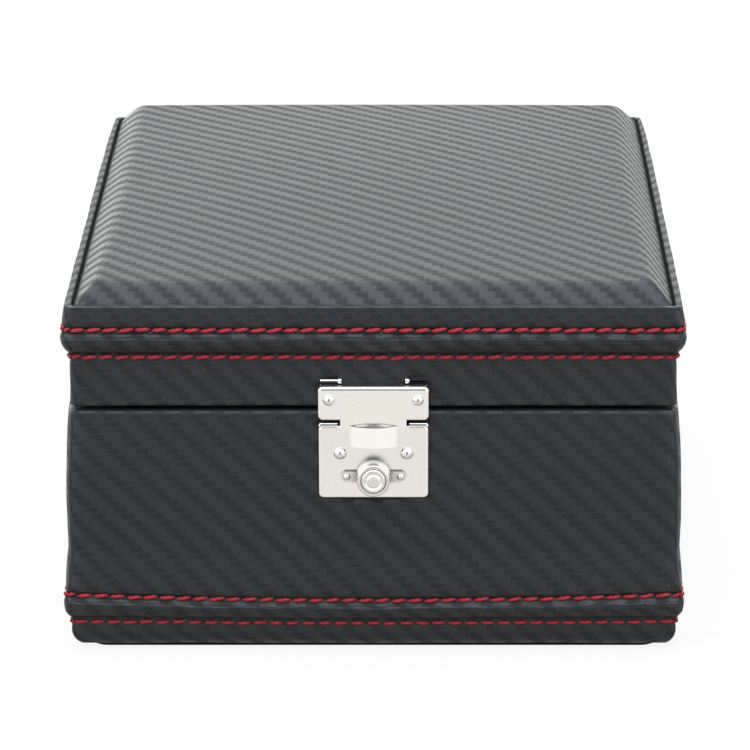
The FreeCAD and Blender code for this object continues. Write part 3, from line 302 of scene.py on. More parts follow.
@dataclass(frozen=True)
class NickelPlate(Finish):
    """Bright nickel on stamped brass sheet: a warm mirror with polishing marks and painted shade in creases.

    Past the thumb hood's distance out its colour is painted brighter, a painted highlight, and between the
    hinge's two heights it is painted nearly black, a painted shade.
    """

    colour: str = "#EBE8E0"
    haze: str = "#E5E2DA"
    # painted highlight: the brighter colour of the thumb hood
    rubbed: str = "#F4F2EC"
    # painted shade: the near black colour of the band at the hinge
    hinge_shade: str = "#1D1B1A"
    # painted shade: the colour that creases are darkened to
    crease_shade: str = "#2B2520"
    roughness: float = 0.16
    polish: float = 0.05
    wave: float = 7.0
    dent: float = 0.12
    mark: float = 0.5
    scratch: float = 0.01
    thumb: float = 0.0
    hinge: tuple[float, float] = (0.0, 0.0)
    # reach of the ambient occlusion that paints shade in creases, and the occlusion above which none is
    # painted
    crease: float = 0.5
    unshaded_above: float = 0.55

    def surface(self, tree: NodeTree) -> Node:
        """Build the plating: shallow waves of the stamped sheet, fine polishing marks, and its painted light.

        Each painted place mixes its own colour in: a painted highlight past the thumb hood's distance out,
        painted shade between the hinge's two heights, and painted shade in creases, where little of the way
        round a point is open.
        """
        place = add(tree, "TexCoord").outputs["Object"]
        stretched = add(tree, "Mapping", {0: place, "Scale": (1.0, 1.0, 0.7)})
        marks = add(tree, "TexNoise", {0: stretched, "Scale": 1 / (self.mark * MM), "Detail": 4.0})
        waves = add(tree, "TexNoise", {0: place, "Scale": 1 / (self.wave * MM), "Detail": 1.0})
        gloss = add(tree, "Math", [marks, self.polish, self.roughness - self.polish / 2],
                    operation="MULTIPLY_ADD")
        tint = add(tree, "ValToRGB", [marks], ((0.3, self.haze), (0.7, self.colour)))
        apart = add(tree, "SeparateXYZ", [place])
        painted_light: list[tuple[Node, str]] = []
        # Painted highlight: past the thumb hood's distance out the colour is painted brighter.
        if self.thumb:
            rubbed = add(tree, "MapRange", [apart.outputs[1], -self.thumb * MM, -(self.thumb + 0.5) * MM])
            painted_light.append((rubbed, self.rubbed))
        # Painted shade: a near black band between the hinge's two heights.
        if self.hinge[1]:
            low, high = self.hinge
            above = add(tree, "Math", [apart.outputs[2], low * MM], operation="GREATER_THAN")
            below = add(tree, "Math", [apart.outputs[2], high * MM], operation="LESS_THAN")
            painted_light.append((add(tree, "Math", [above, below], operation="MULTIPLY"), self.hinge_shade))
        # Painted shade: creases are darkened by ambient occlusion.
        if self.crease:
            near = add(tree, "AmbientOcclusion", {"Distance": self.crease * MM}, samples=12)
            near = add(tree, "MapRange", [near.outputs["AO"], 0.20, self.unshaded_above, 1.0, 0.0])
            painted_light.append((near, self.crease_shade))
        for share, code in painted_light:
            tint = add(tree, "Mix", {0: share, 6: tint, 7: linear(code)}, data_type="RGBA").outputs[2]
        bent = add(tree, "Bump", {"Height": waves, "Strength": 0.35, "Distance": self.dent * MM})
        fine = add(tree, "Bump", {"Height": marks, "Strength": 0.1, "Distance": self.scratch * MM,
                                  "Normal": bent})
        return add(tree, "BsdfPrincipled", {
            "Base Color": tint, "Metallic": 1.0, "Roughness": gloss, "Normal": fine})


@dataclass(frozen=True)
class Velvet(Finish):
    """Short-pile cotton velvet glued over card: deep black, pale at a flat angle, and brushed in patches."""

    name: str = "short_pile_velvet"
    colour: str = "#17171A"
    brushed: str = "#232327"
    sheen: str = "#8A8A92"
    pile: float = 0.5
    nap: float = 0.15
    patch: float = 16.0

    def surface(self, tree: NodeTree) -> Node:
        """Build the pile: a fine nap for its bump, and broad brushed patches in its colour."""
        place = add(tree, "TexCoord").outputs["Object"]
        nap = add(tree, "TexNoise", {0: place, "Scale": 1 / (self.pile * MM), "Detail": 2.0})
        patches = add(tree, "TexNoise", {0: place, "Scale": 1 / (self.patch * MM), "Detail": 3.0,
                                         "Distortion": 0.6})
        colour = add(tree, "ValToRGB", [patches], ((0.35, self.colour), (0.7, self.brushed)))
        bump = add(tree, "Bump", {"Height": nap, "Strength": 0.6, "Distance": self.nap * MM})
        return add(tree, "BsdfPrincipled", {
            "Base Color": colour, "Roughness": 0.92, "IOR": 1.4, "Normal": bump,
            "Sheen Weight": 0.7, "Sheen Roughness": 0.35, "Sheen Tint": linear(self.sheen)})


class Pattern(Enum):
    """Texture that gives a plain stock its flecks."""

    FIBRES = "TexNoise"
    CELLS = "TexVoronoi"


@dataclass(frozen=True)
class PlainStock(Finish):
    """Matt stock with one fine pattern, which gives both its flecks and its relief.

    Pressed wool felt is black with tangled fibres, fibreboard tan with flecks of wood, and open-cell foam
    pale grey and pitted with small cells.
    """

    pattern: Pattern
    size: float
    valley: tuple[float, str]
    ridge: tuple[float, str]
    relief: float
    strength: float
    roughness: float
    ior: float = 1.5
    detail: float = 0.0
    tangle: float = 0.0

    def surface(self, tree: NodeTree) -> Node:
        """Build the stock: the pattern runs from the valley's colour to the ridge's."""
        place = add(tree, "TexCoord").outputs["Object"]
        tangled = {"Distortion": self.tangle} if self.pattern is Pattern.FIBRES else {}
        flecks = add(tree, self.pattern.value, {0: place, "Scale": 1 / (self.size * MM),
                                                "Detail": self.detail, **tangled})
        colour = add(tree, "ValToRGB", [flecks], (self.valley, self.ridge))
        bump = add(tree, "Bump", {"Height": flecks, "Strength": self.strength, "Distance": self.relief * MM})
        return add(tree, "BsdfPrincipled", {
            "Base Color": colour, "Roughness": self.roughness, "IOR": self.ior, "Normal": bump})


@dataclass(frozen=True)
class SpringSteel(Finish):
    """Rolled spring steel strip: grey metal with rolling lines along the strip."""

    name: str = "rolled_spring_steel"
    colour: str = "#8F9092"
    line: float = 0.25

    def surface(self, tree: NodeTree) -> Node:
        """Build the strip: rolling lines as noise drawn out along it."""
        place = add(tree, "TexCoord").outputs["Object"]
        drawn = add(tree, "Mapping", {0: place, "Scale": (0.04, 1.0, 1.0)})
        lines = add(tree, "TexNoise", {0: drawn, "Scale": 1 / (self.line * MM), "Detail": 3.0})
        gloss = add(tree, "Math", [lines, 0.25, 0.22], operation="MULTIPLY_ADD")
        bump = add(tree, "Bump", {"Height": lines, "Strength": 0.3, "Distance": 0.02 * MM})
        return add(tree, "BsdfPrincipled", {
            "Base Color": linear(self.colour), "Metallic": 1.0, "Roughness": gloss, "Normal": bump})


def make_mesh(name: str, points: Array, faces: Array, maps: Array | None = None,
              cap: Array | None = None, sharp: float | None = None, **marks: Array) -> Object:
    """Write one piece as a smooth mesh at the origin.

    Args:
        name: name of the piece.
        points: corners in millimetres, one row each.
        faces: corner numbers, one row for each face.
        maps: weave map in millimetres for each corner of each face, if the piece has one.
        cap: corner numbers of one more face, which has no map, if there is one.
        sharp: angle in degrees past which an edge stays sharp, if any does.
        marks: values at each point by name, such as painted shade at holes and ply valleys, or slack cloth.

    Returns:
        The linked object.
    """
    mesh = bpy.data.meshes.new(name)
    mesh.from_pydata((points * MM).tolist(), [], faces.tolist() + ([] if cap is None else [cap.tolist()]))
    mesh.shade_smooth()
    if maps is not None:
        flat = np.zeros((len(mesh.loops), 2), np.float32)
        flat[:maps.size // 2] = maps.reshape(-1, 2) * MM
        mesh.uv_layers.new(name="weave").uv.foreach_set("vector", flat.ravel())
    for mark, values in marks.items():
        layer = mesh.attributes.new(mark, "FLOAT", "POINT")
        layer.data.foreach_set("value", values.astype(np.float32).ravel())
    if sharp is not None:
        mesh.set_sharp_from_angle(angle=math.radians(sharp))
    mesh.update()
    made = bpy.data.objects.new(name, mesh)
    bpy.context.scene.collection.objects.link(made)
    return made


def settle(piece: Object, body: str, finish: Material,
           stands_for: tuple[str, ...] = ()) -> Object:
    """Dress a new piece and let it ride on its body.

    Args:
        piece: the new object.
        body: CAD body that carries it.
        finish: its material.
        stands_for: CAD nodes that it replaces.

    Returns:
        The same object.
    """
    piece.data.materials.append(finish)
    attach(piece, body)
    if stands_for:
        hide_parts(*stands_for)
    log.info("%s rides on %s with %d faces", piece.name, body, len(piece.data.polygons))
    return piece


def places_of(piece: Object) -> Array:
    """Read the points of a mesh in metres, one row each."""
    flat = np.empty(len(piece.data.vertices) * 3, np.float32)
    piece.data.vertices.foreach_get("co", flat)
    return flat.reshape(-1, 3)


def grid_faces(columns: int, rows: int, wrap_columns: bool, wrap_rows: bool) -> Array:
    """Number the quads of a grid whose corner (column, row) is column times rows plus row.

    Args:
        columns: corners along the first parameter.
        rows: corners along the second.
        wrap_columns: whether the last column joins the first.
        wrap_rows: whether the last row joins the first.

    Returns:
        Four corner numbers for each quad, turning from the first parameter to the second.
    """
    first = np.arange(columns if wrap_columns else columns - 1)[:, None]
    second = np.arange(rows if wrap_rows else rows - 1)[None, :]
    next_first = (first + 1) % columns
    next_second = (second + 1) % rows
    corners = [first * rows + second, next_first * rows + second,
               next_first * rows + next_second, first * rows + next_second]
    return np.stack(corners, axis=-1).reshape(-1, 4)


def grid_maps(across: Array, up: Array) -> Array:
    """Give each corner of each quad its place on the cloth.

    Args:
        across: cloth length at each column line, one more than the columns of quads.
        up: cloth height at each row line, one more than the rows of quads.

    Returns:
        Map of four corners for each quad, in the order of grid_faces.
    """
    left, low = np.meshgrid(across[:-1], up[:-1], indexing="ij")
    right, high = np.meshgrid(across[1:], up[1:], indexing="ij")
    return np.stack([left, low, right, low, right, high, left, high], axis=-1).reshape(-1, 4, 2)


class Outline:
    """Side profile of a wrapped case: outward distance and height, made of lines and arcs."""

    line_steps = np.linspace(0, 1, 25)[1:, None]
    arc_steps = np.linspace(0, 1, 49)[1:, None]
    crest_turns = np.linspace(0, math.pi / 2, 49)[1:]
    samples = 6000
    seam_reach = 1.8
    turn_reach = 15
    turn_step = 18.0

    def __init__(self, out: float, up: float) -> None:
        """Start the profile at one point."""
        self.points = np.array([[out, up]])

    def lengths(self) -> Array:
        """Length along the profile at each drawn point."""
        return np.concatenate([[0], np.cumsum(np.hypot(*np.diff(self.points, axis=0).T))])

    def _draw(self, points: Array) -> "Outline":
        """Go on through more points."""
        self.points = np.vstack([self.points, points])
        return self

    def line(self, out: float, up: float) -> "Outline":
        """Draw a straight line to a point."""
        start = self.points[-1]
        return self._draw(start + (np.array([out, up]) - start) * self.line_steps)

    def arc(self, out: float, up: float, rise: float) -> "Outline":
        """Draw a shallow arc to a point.

        The arc is the chord plus a bow of rise times (1 - (2t - 1)^2), to the right of the way it is drawn.

        Args:
            out: outward distance of its end.
            up: height of its end.
            rise: bow over the chord's middle.

        Returns:
            The same outline.
        """
        start, share = self.points[-1], self.arc_steps
        chord = np.array([out, up]) - start
        right = np.array([chord[1], -chord[0]]) / np.hypot(*chord)
        return self._draw(start + chord * share + right * rise * (1 - (2 * share - 1) ** 2))

    def crest(self, out: float, up: float) -> "Outline":
        """Draw a quarter of an ellipse that starts straight up and bends over to a point."""
        start = self.points[-1]
        bent = np.stack([1 - np.cos(self.crest_turns), np.sin(self.crest_turns)], axis=1)
        return self._draw(start + (np.array([out, up]) - start) * bent)

    def sampled(self, coarse: float, fine: float, seams: list[float]) -> tuple[Array, Array]:
        """Choose points along the profile, close together near its seams and at its bends.

        The number of points up to a place is the sum of 1/coarse, of bells of 1/fine about the seams, and of
        one point for each 18 degrees that the profile has turned.

        Args:
            coarse: usual spacing.
            fine: spacing at a seam.
            seams: lengths along the profile.

        Returns:
            The points, and the length along the profile at each.
        """
        lengths = self.lengths()
        close = np.linspace(0, lengths[-1], self.samples)
        bells = sum(np.exp(-((close - seam) / self.seam_reach) ** 2) for seam in seams)
        way = np.unwrap(np.arctan2(*np.diff(self.points, axis=0).T[::-1]))
        turned = np.interp(close, lengths[1:-1], np.cumsum(np.abs(np.diff(way))))
        mean = np.full(self.turn_reach, 1 / self.turn_reach)
        turning = np.convolve(np.gradient(turned, close), mean, "same")
        density = 1 / coarse + bells / fine + turning / math.radians(self.turn_step)
        counts = np.concatenate([[0], np.cumsum((density[1:] + density[:-1]) / 2 * np.diff(close))])
        wanted = np.linspace(0, counts[-1], int(round(counts[-1])) + 1)
        chosen = np.interp(wanted, counts, close)
        return np.stack([np.interp(chosen, lengths, axis) for axis in self.points.T], axis=1), chosen

    def length_at(self, out: float, up: float) -> float:
        """Length along the profile at the drawn point nearest to a place."""
        return float(self.lengths()[np.argmin(np.hypot(self.points[:, 0] - out, self.points[:, 1] - up))])


@dataclass(frozen=True)
class BoxLoop:
    """Round-cornered loop round the boards, counter-clockwise from above from the left front corner."""

    half_x: float
    half_y: float
    corner: float
    bends: tuple[tuple[float, float], ...]
    thin: float = 0.0
    thin_reach: float = 16.0
    padding: tuple[float, float] = (1.5, 2.5)
    tight_reach: float = 2.2
    reach: float = 3.0
    straight: float = 0.999

    def length(self) -> float:
        """Length of the loop at its reach outside the boards."""
        return float(self._breaks()[-1])

    def _breaks(self) -> Array:
        """Lengths at which sides and corners begin and end."""
        bend = (self.corner + self.reach) * math.pi / 2
        sides = [bend, 2 * (self.half_x - self.corner), bend, 2 * (self.half_y - self.corner)]
        return np.concatenate([[0], np.cumsum(sides * 2)])

    def at(self, length: Array) -> tuple[Array, Array]:
        """Find places on the loop.

        A place is a corner centre, or a point between two, given as shares of the half sizes, plus an outward
        direction that turns with the corner.

        Args:
            length: lengths along the loop, in any shape.

        Returns:
            Shares of the half sizes and outward directions, with a last axis of two.
        """
        breaks = self._breaks()
        length = np.mod(length, breaks[-1])
        part = np.clip(np.searchsorted(breaks, length, side="right") - 1, 0, 7)
        share = (length - breaks[part]) / np.diff(breaks)[part]
        corners = np.repeat([[-1.0, -1.0], [1.0, -1.0], [1.0, 1.0], [-1.0, 1.0], [-1.0, -1.0]], 2, axis=0)[:9]
        turns = np.radians([180, 270, 270, 360, 360, 450, 450, 540, 540])
        starts = corners[part]
        shares = starts + share[..., None] * (corners[part + 1] - starts)
        turn = turns[part] + share * (turns[part + 1] - turns[part])
        return shares, np.stack([np.cos(turn), np.sin(turn)], axis=-1)

    def place(self, shares: Array, outward: Array, out: Array) -> Array:
        """Turn places on the loop into plan positions at a distance outside the boards.

        The corner's radius follows the bends, pairs of an outward distance and the radius there. Padding,
        which starts 1.5 mm out, gets thinner towards the back corners, by exp(-d / 16) at d millimetres.

        Args:
            shares: shares of the half sizes.
            outward: outward directions.
            out: distance outside the boards, of the same shape without the last axis.

        Returns:
            Plan positions in millimetres.
        """
        half = np.array([self.half_x, self.half_y])
        beside, before = np.moveaxis(np.abs(outward) > self.straight, -1, 0)
        from_back = np.where(beside, 1 - shares[..., 1], 0.0) * self.half_y
        from_back += np.where(before, 1 - np.abs(shares[..., 0]), 0.0) * self.half_x
        padded = np.clip((out - self.padding[0]) / self.padding[1], 0, 1) * (shares[..., 1] > -self.straight)
        out = out - self.thin * padded * np.exp(-from_back / self.thin_reach)
        radius = np.interp(out, *zip(*self.bends))
        return shares * (half + out[..., None] - radius[..., None]) + outward * radius[..., None]

    def carry(self, shares: Array, outward: Array, section: Array) -> Array:
        """Carry a section round the loop.

        Args:
            shares: shares of the half sizes, one row for each place.
            outward: outward directions at the same places.
            section: outward distances and heights, one set for all places or one for each.

        Returns:
            Points in millimetres, one column for each place.
        """
        section = np.broadcast_to(section, (len(shares),) + section.shape[-2:])
        plan = self.place(shares[:, None, :], outward[:, None, :], section[..., 0])
        return np.concatenate([plan, section[..., 1:]], axis=-1)

    def tight(self, shares: Array, outward: Array) -> Array:
        """How tight the cloth is drawn: 1 in a corner, and exp(-d / 2.2) at d millimetres along a side."""
        facing = np.abs(outward) > self.straight
        along = np.where(facing[..., 1], (1 - np.abs(shares[..., 0])) * self.half_x,
                         (1 - np.abs(shares[..., 1])) * self.half_y)
        return np.exp(-np.where(facing.any(axis=-1), along, 0.0) / self.tight_reach)

    def middle(self, shares: Array, outward: Array) -> Array:
        """How near a place is to the middle of its side: 1 - s^2 along the side, and nothing in a corner."""
        facing = np.abs(outward) > self.straight
        along = np.where(facing[..., 1], shares[..., 0], shares[..., 1])
        return np.where(facing.any(axis=-1), 1 - along ** 2, 0.0)


@dataclass(frozen=True)
class StitchRow:
    """One row of saddle stitches round a case."""

    name: str
    out: float
    up: float
    lean: float
    phase: float
    pull: float
    sag: float = 0.0
    long: float = 3.9
    slant: float = 8.0
    thick: float = 1.0


@dataclass(frozen=True)
class SaddleStitch:
    """Size of a saddle stitch: a thread that comes out of one needle hole and dives into the next."""

    pitch: float = 4.27
    radius: float = 0.60
    rise: float = 0.54
    sink: float = 0.80
    rings: int = 10
    sides: int = 8
    plies: float = 0.10
    twist: float = 1.3
    taper: float = 0.45
    uneven_long: float = 0.03
    uneven_slant: float = 2.2
    uneven_high: float = 0.06

    def count(self, loop: BoxLoop) -> int:
        """Number of stitches that go round a loop."""
        return int(round(loop.length() / self.pitch))

    def sew(self, loop: BoxLoop, row: StitchRow) -> Object:
        """Sew one row: each stitch is a tube along a low arch, with the bulges of two twisted plies.

        The middle line rises as (1 - t^4) from its sunk ends and slants up to the right. Its radius is the
        thread's times 1 plus the plies' share of cos(2a - turns along the stitch), and tapers at the ends.

        Args:
            loop: loop that the row follows.
            row: place of the row on the side of the case.

        Returns:
            The row of stitches as one mesh.
        """
        number = self.count(loop)
        draw = np.random.default_rng(SEED + int(row.up * 10))
        middle = (np.arange(number) + 0.5 + row.phase) * loop.length() / number
        long = row.long * (1 + draw.normal(0, self.uneven_long, number))
        slant = np.radians(row.slant + draw.normal(0, self.uneven_slant, number))
        high = row.up + draw.normal(0, self.uneven_high, number)
        share = np.linspace(-1, 1, self.rings)
        along = long[:, None] / 2 * share
        climb = np.tan(slant)[:, None] * along
        shares, outward = loop.at(middle[:, None] + along)
        lift = self.rise * (1 - share ** 4) - self.sink
        lean_out, lean_up = math.cos(math.radians(row.lean)), math.sin(math.radians(row.lean))
        centre = np.empty(shares.shape[:2] + (3,))
        centre[..., :2] = loop.place(shares, outward, row.out + lift * lean_out - climb * lean_up)
        sagged = loop.middle(shares, outward) * row.sag
        centre[..., 2] = high[:, None] - sagged + climb * lean_out + lift * lean_up
        level = np.ones(outward.shape[:2] + (1,))
        flat = np.concatenate([outward * lean_out, level * lean_up], axis=-1)
        side = np.concatenate([-outward * lean_up, level * lean_out], axis=-1)
        angle = np.linspace(0, 2 * math.pi, self.sides, endpoint=False)
        ply = 1 + self.plies * np.cos(2 * angle[None, :] - 2 * math.pi * self.twist * share[:, None])
        taper = self.radius * row.thick * (1 - self.taper * np.abs(share) ** 3)
        radius = (taper[:, None] * ply)[None, :, :, None]
        around = (flat[:, :, None, :] * np.cos(angle)[None, None, :, None]
                  + side[:, :, None, :] * np.sin(angle)[None, None, :, None])
        points = (centre[:, :, None, :] + radius * around).reshape(-1, 3)
        tube = grid_faces(self.rings, self.sides, False, True)
        step = self.rings * self.sides
        faces = (np.arange(number)[:, None, None] * step + tube[None]).reshape(-1, 4)
        wound = grid_maps(np.linspace(0, row.long, self.rings),
                          np.linspace(0, 2 * math.pi * self.radius, self.sides + 1))
        maps = np.tile(wound, (number, 1, 1))
        # Painted shade in the valleys between the plies, by how far the ply bulge falls.
        valley = np.tile(np.clip(0.5 - (ply - 1) / self.plies, 0, 1).ravel(), number)
        return make_mesh(row.name, points, faces[:, ::-1], maps[:, ::-1], pinch=valley)


@dataclass(frozen=True)
class Seat:
    """Rectangle of the front or back where metal is pressed into the padding."""

    left: float
    right: float
    low: float
    high: float
    out: float
    front: bool
    soft: float = 0.5

    @classmethod
    def under(cls, node: str, out: float) -> "Seat":
        """Seat as large as a CAD node, on the side of the box where the node is."""
        low, high = (np.array(corner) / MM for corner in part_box(node))
        return cls(low[0], high[0], low[2], high[2], out, bool(low[1] < 0))

    def press(self, plan: Array, up: Array, out: Array) -> Array:
        """Lower the cloth to the seat: a blend by smooth steps across its four edges.

        Args:
            plan: plan positions of the cloth.
            up: heights of the cloth.
            out: distances outside the boards.

        Returns:
            New distances outside the boards.
        """
        facing = plan[..., 1] < 0 if self.front else plan[..., 1] > 0
        inside = np.minimum(np.minimum(plan[..., 0] - self.left, self.right - plan[..., 0]),
                            np.minimum(up - self.low, self.high - up))
        share = np.clip(inside / self.soft + 0.5, 0, 1)
        share = share * share * (3 - 2 * share) * facing
        return np.where(out > self.out, out + (self.out - out) * share, out)


@dataclass(frozen=True)
class WrappedCase:
    """Leatherette wrapped round one half of the box, padded, sewn, and pressed in under its metal.

    A ripple has its count of waves round the box, its turn for each millimetre up it, and its start.
    """

    name: str
    body: str
    node: str
    loop: BoxLoop
    stitch: SaddleStitch
    rows: tuple[StitchRow, ...]
    columns_per_stitch: int = 6
    coarse: float = 1.6
    fine: float = 0.42
    groove: float = 0.95
    slope: float = 1.9
    needle: float = 0.62
    between_holes: float = 0.6
    ripple: float = 0.05
    ripples: tuple[tuple[int, float, float], ...] = ((9, 0.11, 0.0), (23, -0.31, 1.3))
    level_above: float = 26.0
    tuck: float = 0.0
    tuck_reach: float = 5.0
    slack_below: float = 3.0
    slack_reach: float = 1.9

    def build(self, outside: Outline, inside: list[tuple[float, float]],
              seats: list[Seat], finish: Material) -> Object:
        """Carry the side profile round the loop and work the padding into it.

        Above the rows the corners are drawn tight. The rows sag towards the middle of each side, and take the
        cloth along. Seats press the cloth down to their own depth.

        Args:
            outside: outer profile, from the foot to the inside of the rim.
            inside: corners of the hidden back of the cloth, from the rim back to the foot.
            seats: metal that is pressed into the padding.
            finish: leatherette.

        Returns:
            The cover.
        """
        seams = [outside.length_at(row.out, row.up) for row in self.rows]
        profile, lengths = outside.sampled(self.coarse, self.fine, seams)
        tangent = np.gradient(profile, lengths, axis=0)
        tangent /= np.hypot(tangent[:, 0], tangent[:, 1])[:, None]
        columns = self.stitch.count(self.loop) * self.columns_per_stitch
        turns = np.arange(columns) / columns
        shares, outward = self.loop.at(np.arange(columns) * self.loop.length() / columns)
        push, pinch = self._pull(turns, lengths, seams)
        top = self.rows[-1].up
        sewn = [outside.points[0, 1]] + [row.up for row in self.rows] + [top + self.level_above]
        sag = np.interp(profile[:, 1], sewn, [0.0] + [row.sag for row in self.rows] + [0.0])
        wall = np.clip((profile[:, 1] - top + 0.5) / self.tuck_reach, 0, 1) * (profile[:, 0] > 1.0)
        out = profile[None, :, 0] + push * tangent[None, :, 1]
        out -= self.tuck * self.loop.tight(shares, outward)[:, None] * wall
        up = profile[None, :, 1] - push * tangent[None, :, 0]
        up -= self.loop.middle(shares, outward)[:, None] * sag
        plan = self.loop.place(shares[:, None, :], outward[:, None, :], out)
        for seat in seats:
            out = seat.press(plan, up, out)
        points = np.concatenate([self.loop.carry(shares, outward, np.stack([out, up], axis=-1)),
                                 self.loop.carry(shares, outward, np.array(inside))], axis=1)
        height = np.concatenate([lengths, lengths[-1] + np.arange(1, len(inside) + 2) * self.coarse])
        maps = grid_maps(np.linspace(0, self.loop.length(), columns + 1), height)
        slack = np.exp(-((lengths - seams[-1] + self.slack_below) / self.slack_reach) ** 2)
        hidden = ((0, 0), (0, len(inside)))
        cover = make_mesh(self.name, points.reshape(-1, 3), grid_faces(*points.shape[:2], True, True), maps,
                          pinch=np.pad(pinch, hidden),
                          slack=np.pad(np.broadcast_to(slack, (columns, len(slack))), hidden))
        return settle(cover, self.body, finish, (self.node,))

    def _pull(self, turns: Array, lengths: Array,
              seams: list[float]) -> tuple[Array, Array]:
        """Work out how the thread draws the cloth in.

        Outward displacement is minus each row's pull times a bell about the row, wider below than above it
        and deeper at the needle holes, plus slow ripples of the padding.

        Args:
            turns: shares of the way round the loop, one for each column.
            lengths: lengths along the profile.
            seams: lengths of the rows along the profile.

        Returns:
            Displacement in millimetres and painted shade at the needle holes, for each column and length.
        """
        waves = 2 * math.pi * turns[:, None]
        push = np.zeros((len(turns), len(lengths)))
        pinch = np.zeros_like(push)
        for row, seam in zip(self.rows, seams):
            bell = np.exp(-((lengths - seam) / np.where(lengths < seam, self.slope, self.groove)) ** 2)
            dot = np.exp(-((lengths - seam) / self.needle) ** 2)
            hole = np.cos(math.pi * (turns * self.stitch.count(self.loop) - row.phase))[:, None] ** 6
            push -= row.pull * bell * (self.between_holes + (1 - self.between_holes) * hole)
            # Painted shade at the needle holes, which darkens the leatherette there.
            pinch = np.maximum(pinch, dot * hole)
        for count, climb, start in self.ripples:
            push += self.ripple * np.sin(count * waves + climb * lengths + start)
        return push, pinch


@dataclass(frozen=True)
class SoftPanel:
    """Padded panel: bevelled edges that meet in soft hips, and a low crown between them."""

    name: str
    half_x: float
    half_y: float
    corner: float
    foot: float
    hem: float
    bevel: float
    bevel_rise: float
    crown: float
    facing: Axis
    blend: float
    spacing: float = 1.5
    dip: float = 0.0
    bulge: float = 0.10
    hip: float = 0.8
    edge_lines: int = 14
    edge_reach: float = 1.8
    wall_rings: int = 3

    def build(self) -> Object:
        """Lay a grid over the panel, lift it, and drop its edge straight to the foot.

        Returns:
            The panel as a closed mesh with its weave map.
        """
        x, y = np.meshgrid(self._lines(self.half_x), self._lines(self.half_y), indexing="ij")
        x, y, inset = self._round_corners(x, y)
        top = np.stack([x, y, self._height(x, y, inset)], axis=-1)
        columns, rows = x.shape
        ring = np.arange(columns * rows).reshape(columns, rows)
        ring = np.concatenate([ring[:-1, 0], ring[-1, :-1], ring[:0:-1, -1], ring[0, :0:-1]])
        count = len(ring)
        edge = top.reshape(-1, 3)[ring, :2]
        levels = np.linspace(self.hem, self.foot, self.wall_rings + 1)[1:]
        walls = [np.concatenate([edge, np.full((count, 1), level)], axis=1) for level in levels]
        points = np.concatenate([top.reshape(-1, 3), *walls])
        faces = [grid_faces(columns, rows, False, False)]
        rings = [ring] + [columns * rows + count * level + np.arange(count) for level in range(len(levels))]
        for upper, lower in zip(rings, rings[1:]):
            faces.append(np.stack([lower, np.roll(lower, -1), np.roll(upper, -1), upper], axis=1))
        faces = np.concatenate(faces)
        cloth = self._cloth(top)
        cloth = np.concatenate([cloth] + [cloth[ring]] * len(levels))
        if self.facing is Axis.DOWN:
            points[:, 2] = 2 * self.foot - points[:, 2]
            faces = faces[:, ::-1]
        foot = rings[-1] if self.facing is Axis.DOWN else rings[-1][::-1]
        return make_mesh(self.name, points, faces, cloth[faces], cap=foot)

    def _height(self, x: Array, y: Array, inset: Array) -> Array:
        """Height of the panel: a smooth least of two surfaces.

        One is a bevel that climbs with the distance from the outline, the other a crown of (1 - x^2)(1 - y^2)
        over the panel, less a dip of (1 - x^16) y^3 along its front edge.

        Args:
            x: positions across.
            y: positions front to back.
            inset: distances inside the outline.

        Returns:
            Heights in millimetres.
        """
        across, deep = x / self.half_x, y / self.half_y
        bulge = 1 + self.bulge * np.sin(math.pi * np.clip(inset / self.bevel, 0, 1))
        slope = self.hem + self.bevel_rise * inset / self.bevel * bulge
        flat = self.hem + self.bevel_rise + self.crown * (1 - across ** 2) * (1 - deep ** 2)
        flat -= self.dip * (1 - across ** 16) * np.clip(-deep, 0, 1) ** 3
        return self._least(slope, flat, self.blend)

    @staticmethod
    def _cloth(top: Array) -> Array:
        """Lay the cloth out flat: lengths along the surface from its two middle lines.

        Args:
            top: grid of points.

        Returns:
            Place of each point on the cloth, one row each.
        """
        laid = []
        for axis in (0, 1):
            steps = np.hypot(np.diff(top[..., axis], axis=axis), np.diff(top[..., 2], axis=axis))
            run = np.insert(np.cumsum(steps, axis=axis), 0, 0.0, axis=axis)
            laid.append(run - np.take(run, [run.shape[axis] // 2], axis=axis))
        return np.stack(laid, axis=-1).reshape(-1, 2)

    def _lines(self, half: float) -> Array:
        """Grid lines from one edge to the other, close together over the bevels."""
        fine = np.linspace(0, self.bevel * self.edge_reach, self.edge_lines)
        middle = np.linspace(0, 1, int(2 * (half - fine[-1]) / self.spacing))[1:-1]
        inner = -half + fine[-1] + middle * 2 * (half - fine[-1])
        return np.concatenate([-half + fine, inner, half - fine[::-1]])

    def _round_corners(self, x: Array, y: Array) -> tuple[Array, Array, Array]:
        """Bend the four corner blocks of the grid into quarter discs and measure from the outline.

        In a block, shares p and q become p sqrt(1 - q^2/2) and q sqrt(1 - p^2/2).

        Args:
            x: grid positions across.
            y: grid positions front to back.

        Returns:
            Bent positions, and their distance inside the outline.
        """
        r = self.corner
        p = np.clip((np.abs(x) - self.half_x + r) / r, 0, 1)
        q = np.clip((np.abs(y) - self.half_y + r) / r, 0, 1)
        bent_x = np.where(p > 0, np.sign(x) * (self.half_x - r + r * p * np.sqrt(1 - q ** 2 / 2)), x)
        bent_y = np.where(q > 0, np.sign(y) * (self.half_y - r + r * q * np.sqrt(1 - p ** 2 / 2)), y)
        near_x = self.half_x - np.abs(bent_x)
        near_y = self.half_y - np.abs(bent_y)
        block = r - np.hypot(np.maximum(r - near_x, 0), np.maximum(r - near_y, 0))
        block = np.where((p > 0) & (q > 0), block, np.inf)
        inset = np.minimum(self._least(near_x, near_y, self.hip), block)
        return bent_x, bent_y, np.maximum(inset, 0)

    @staticmethod
    def _least(first: Array, second: Array, blend: float) -> Array:
        """Smooth least of two arrays: the lesser, minus a parabola of the difference where they are close."""
        near = np.maximum(blend - np.abs(first - second), 0) / blend
        return np.minimum(first, second) - near * near * blend / 4


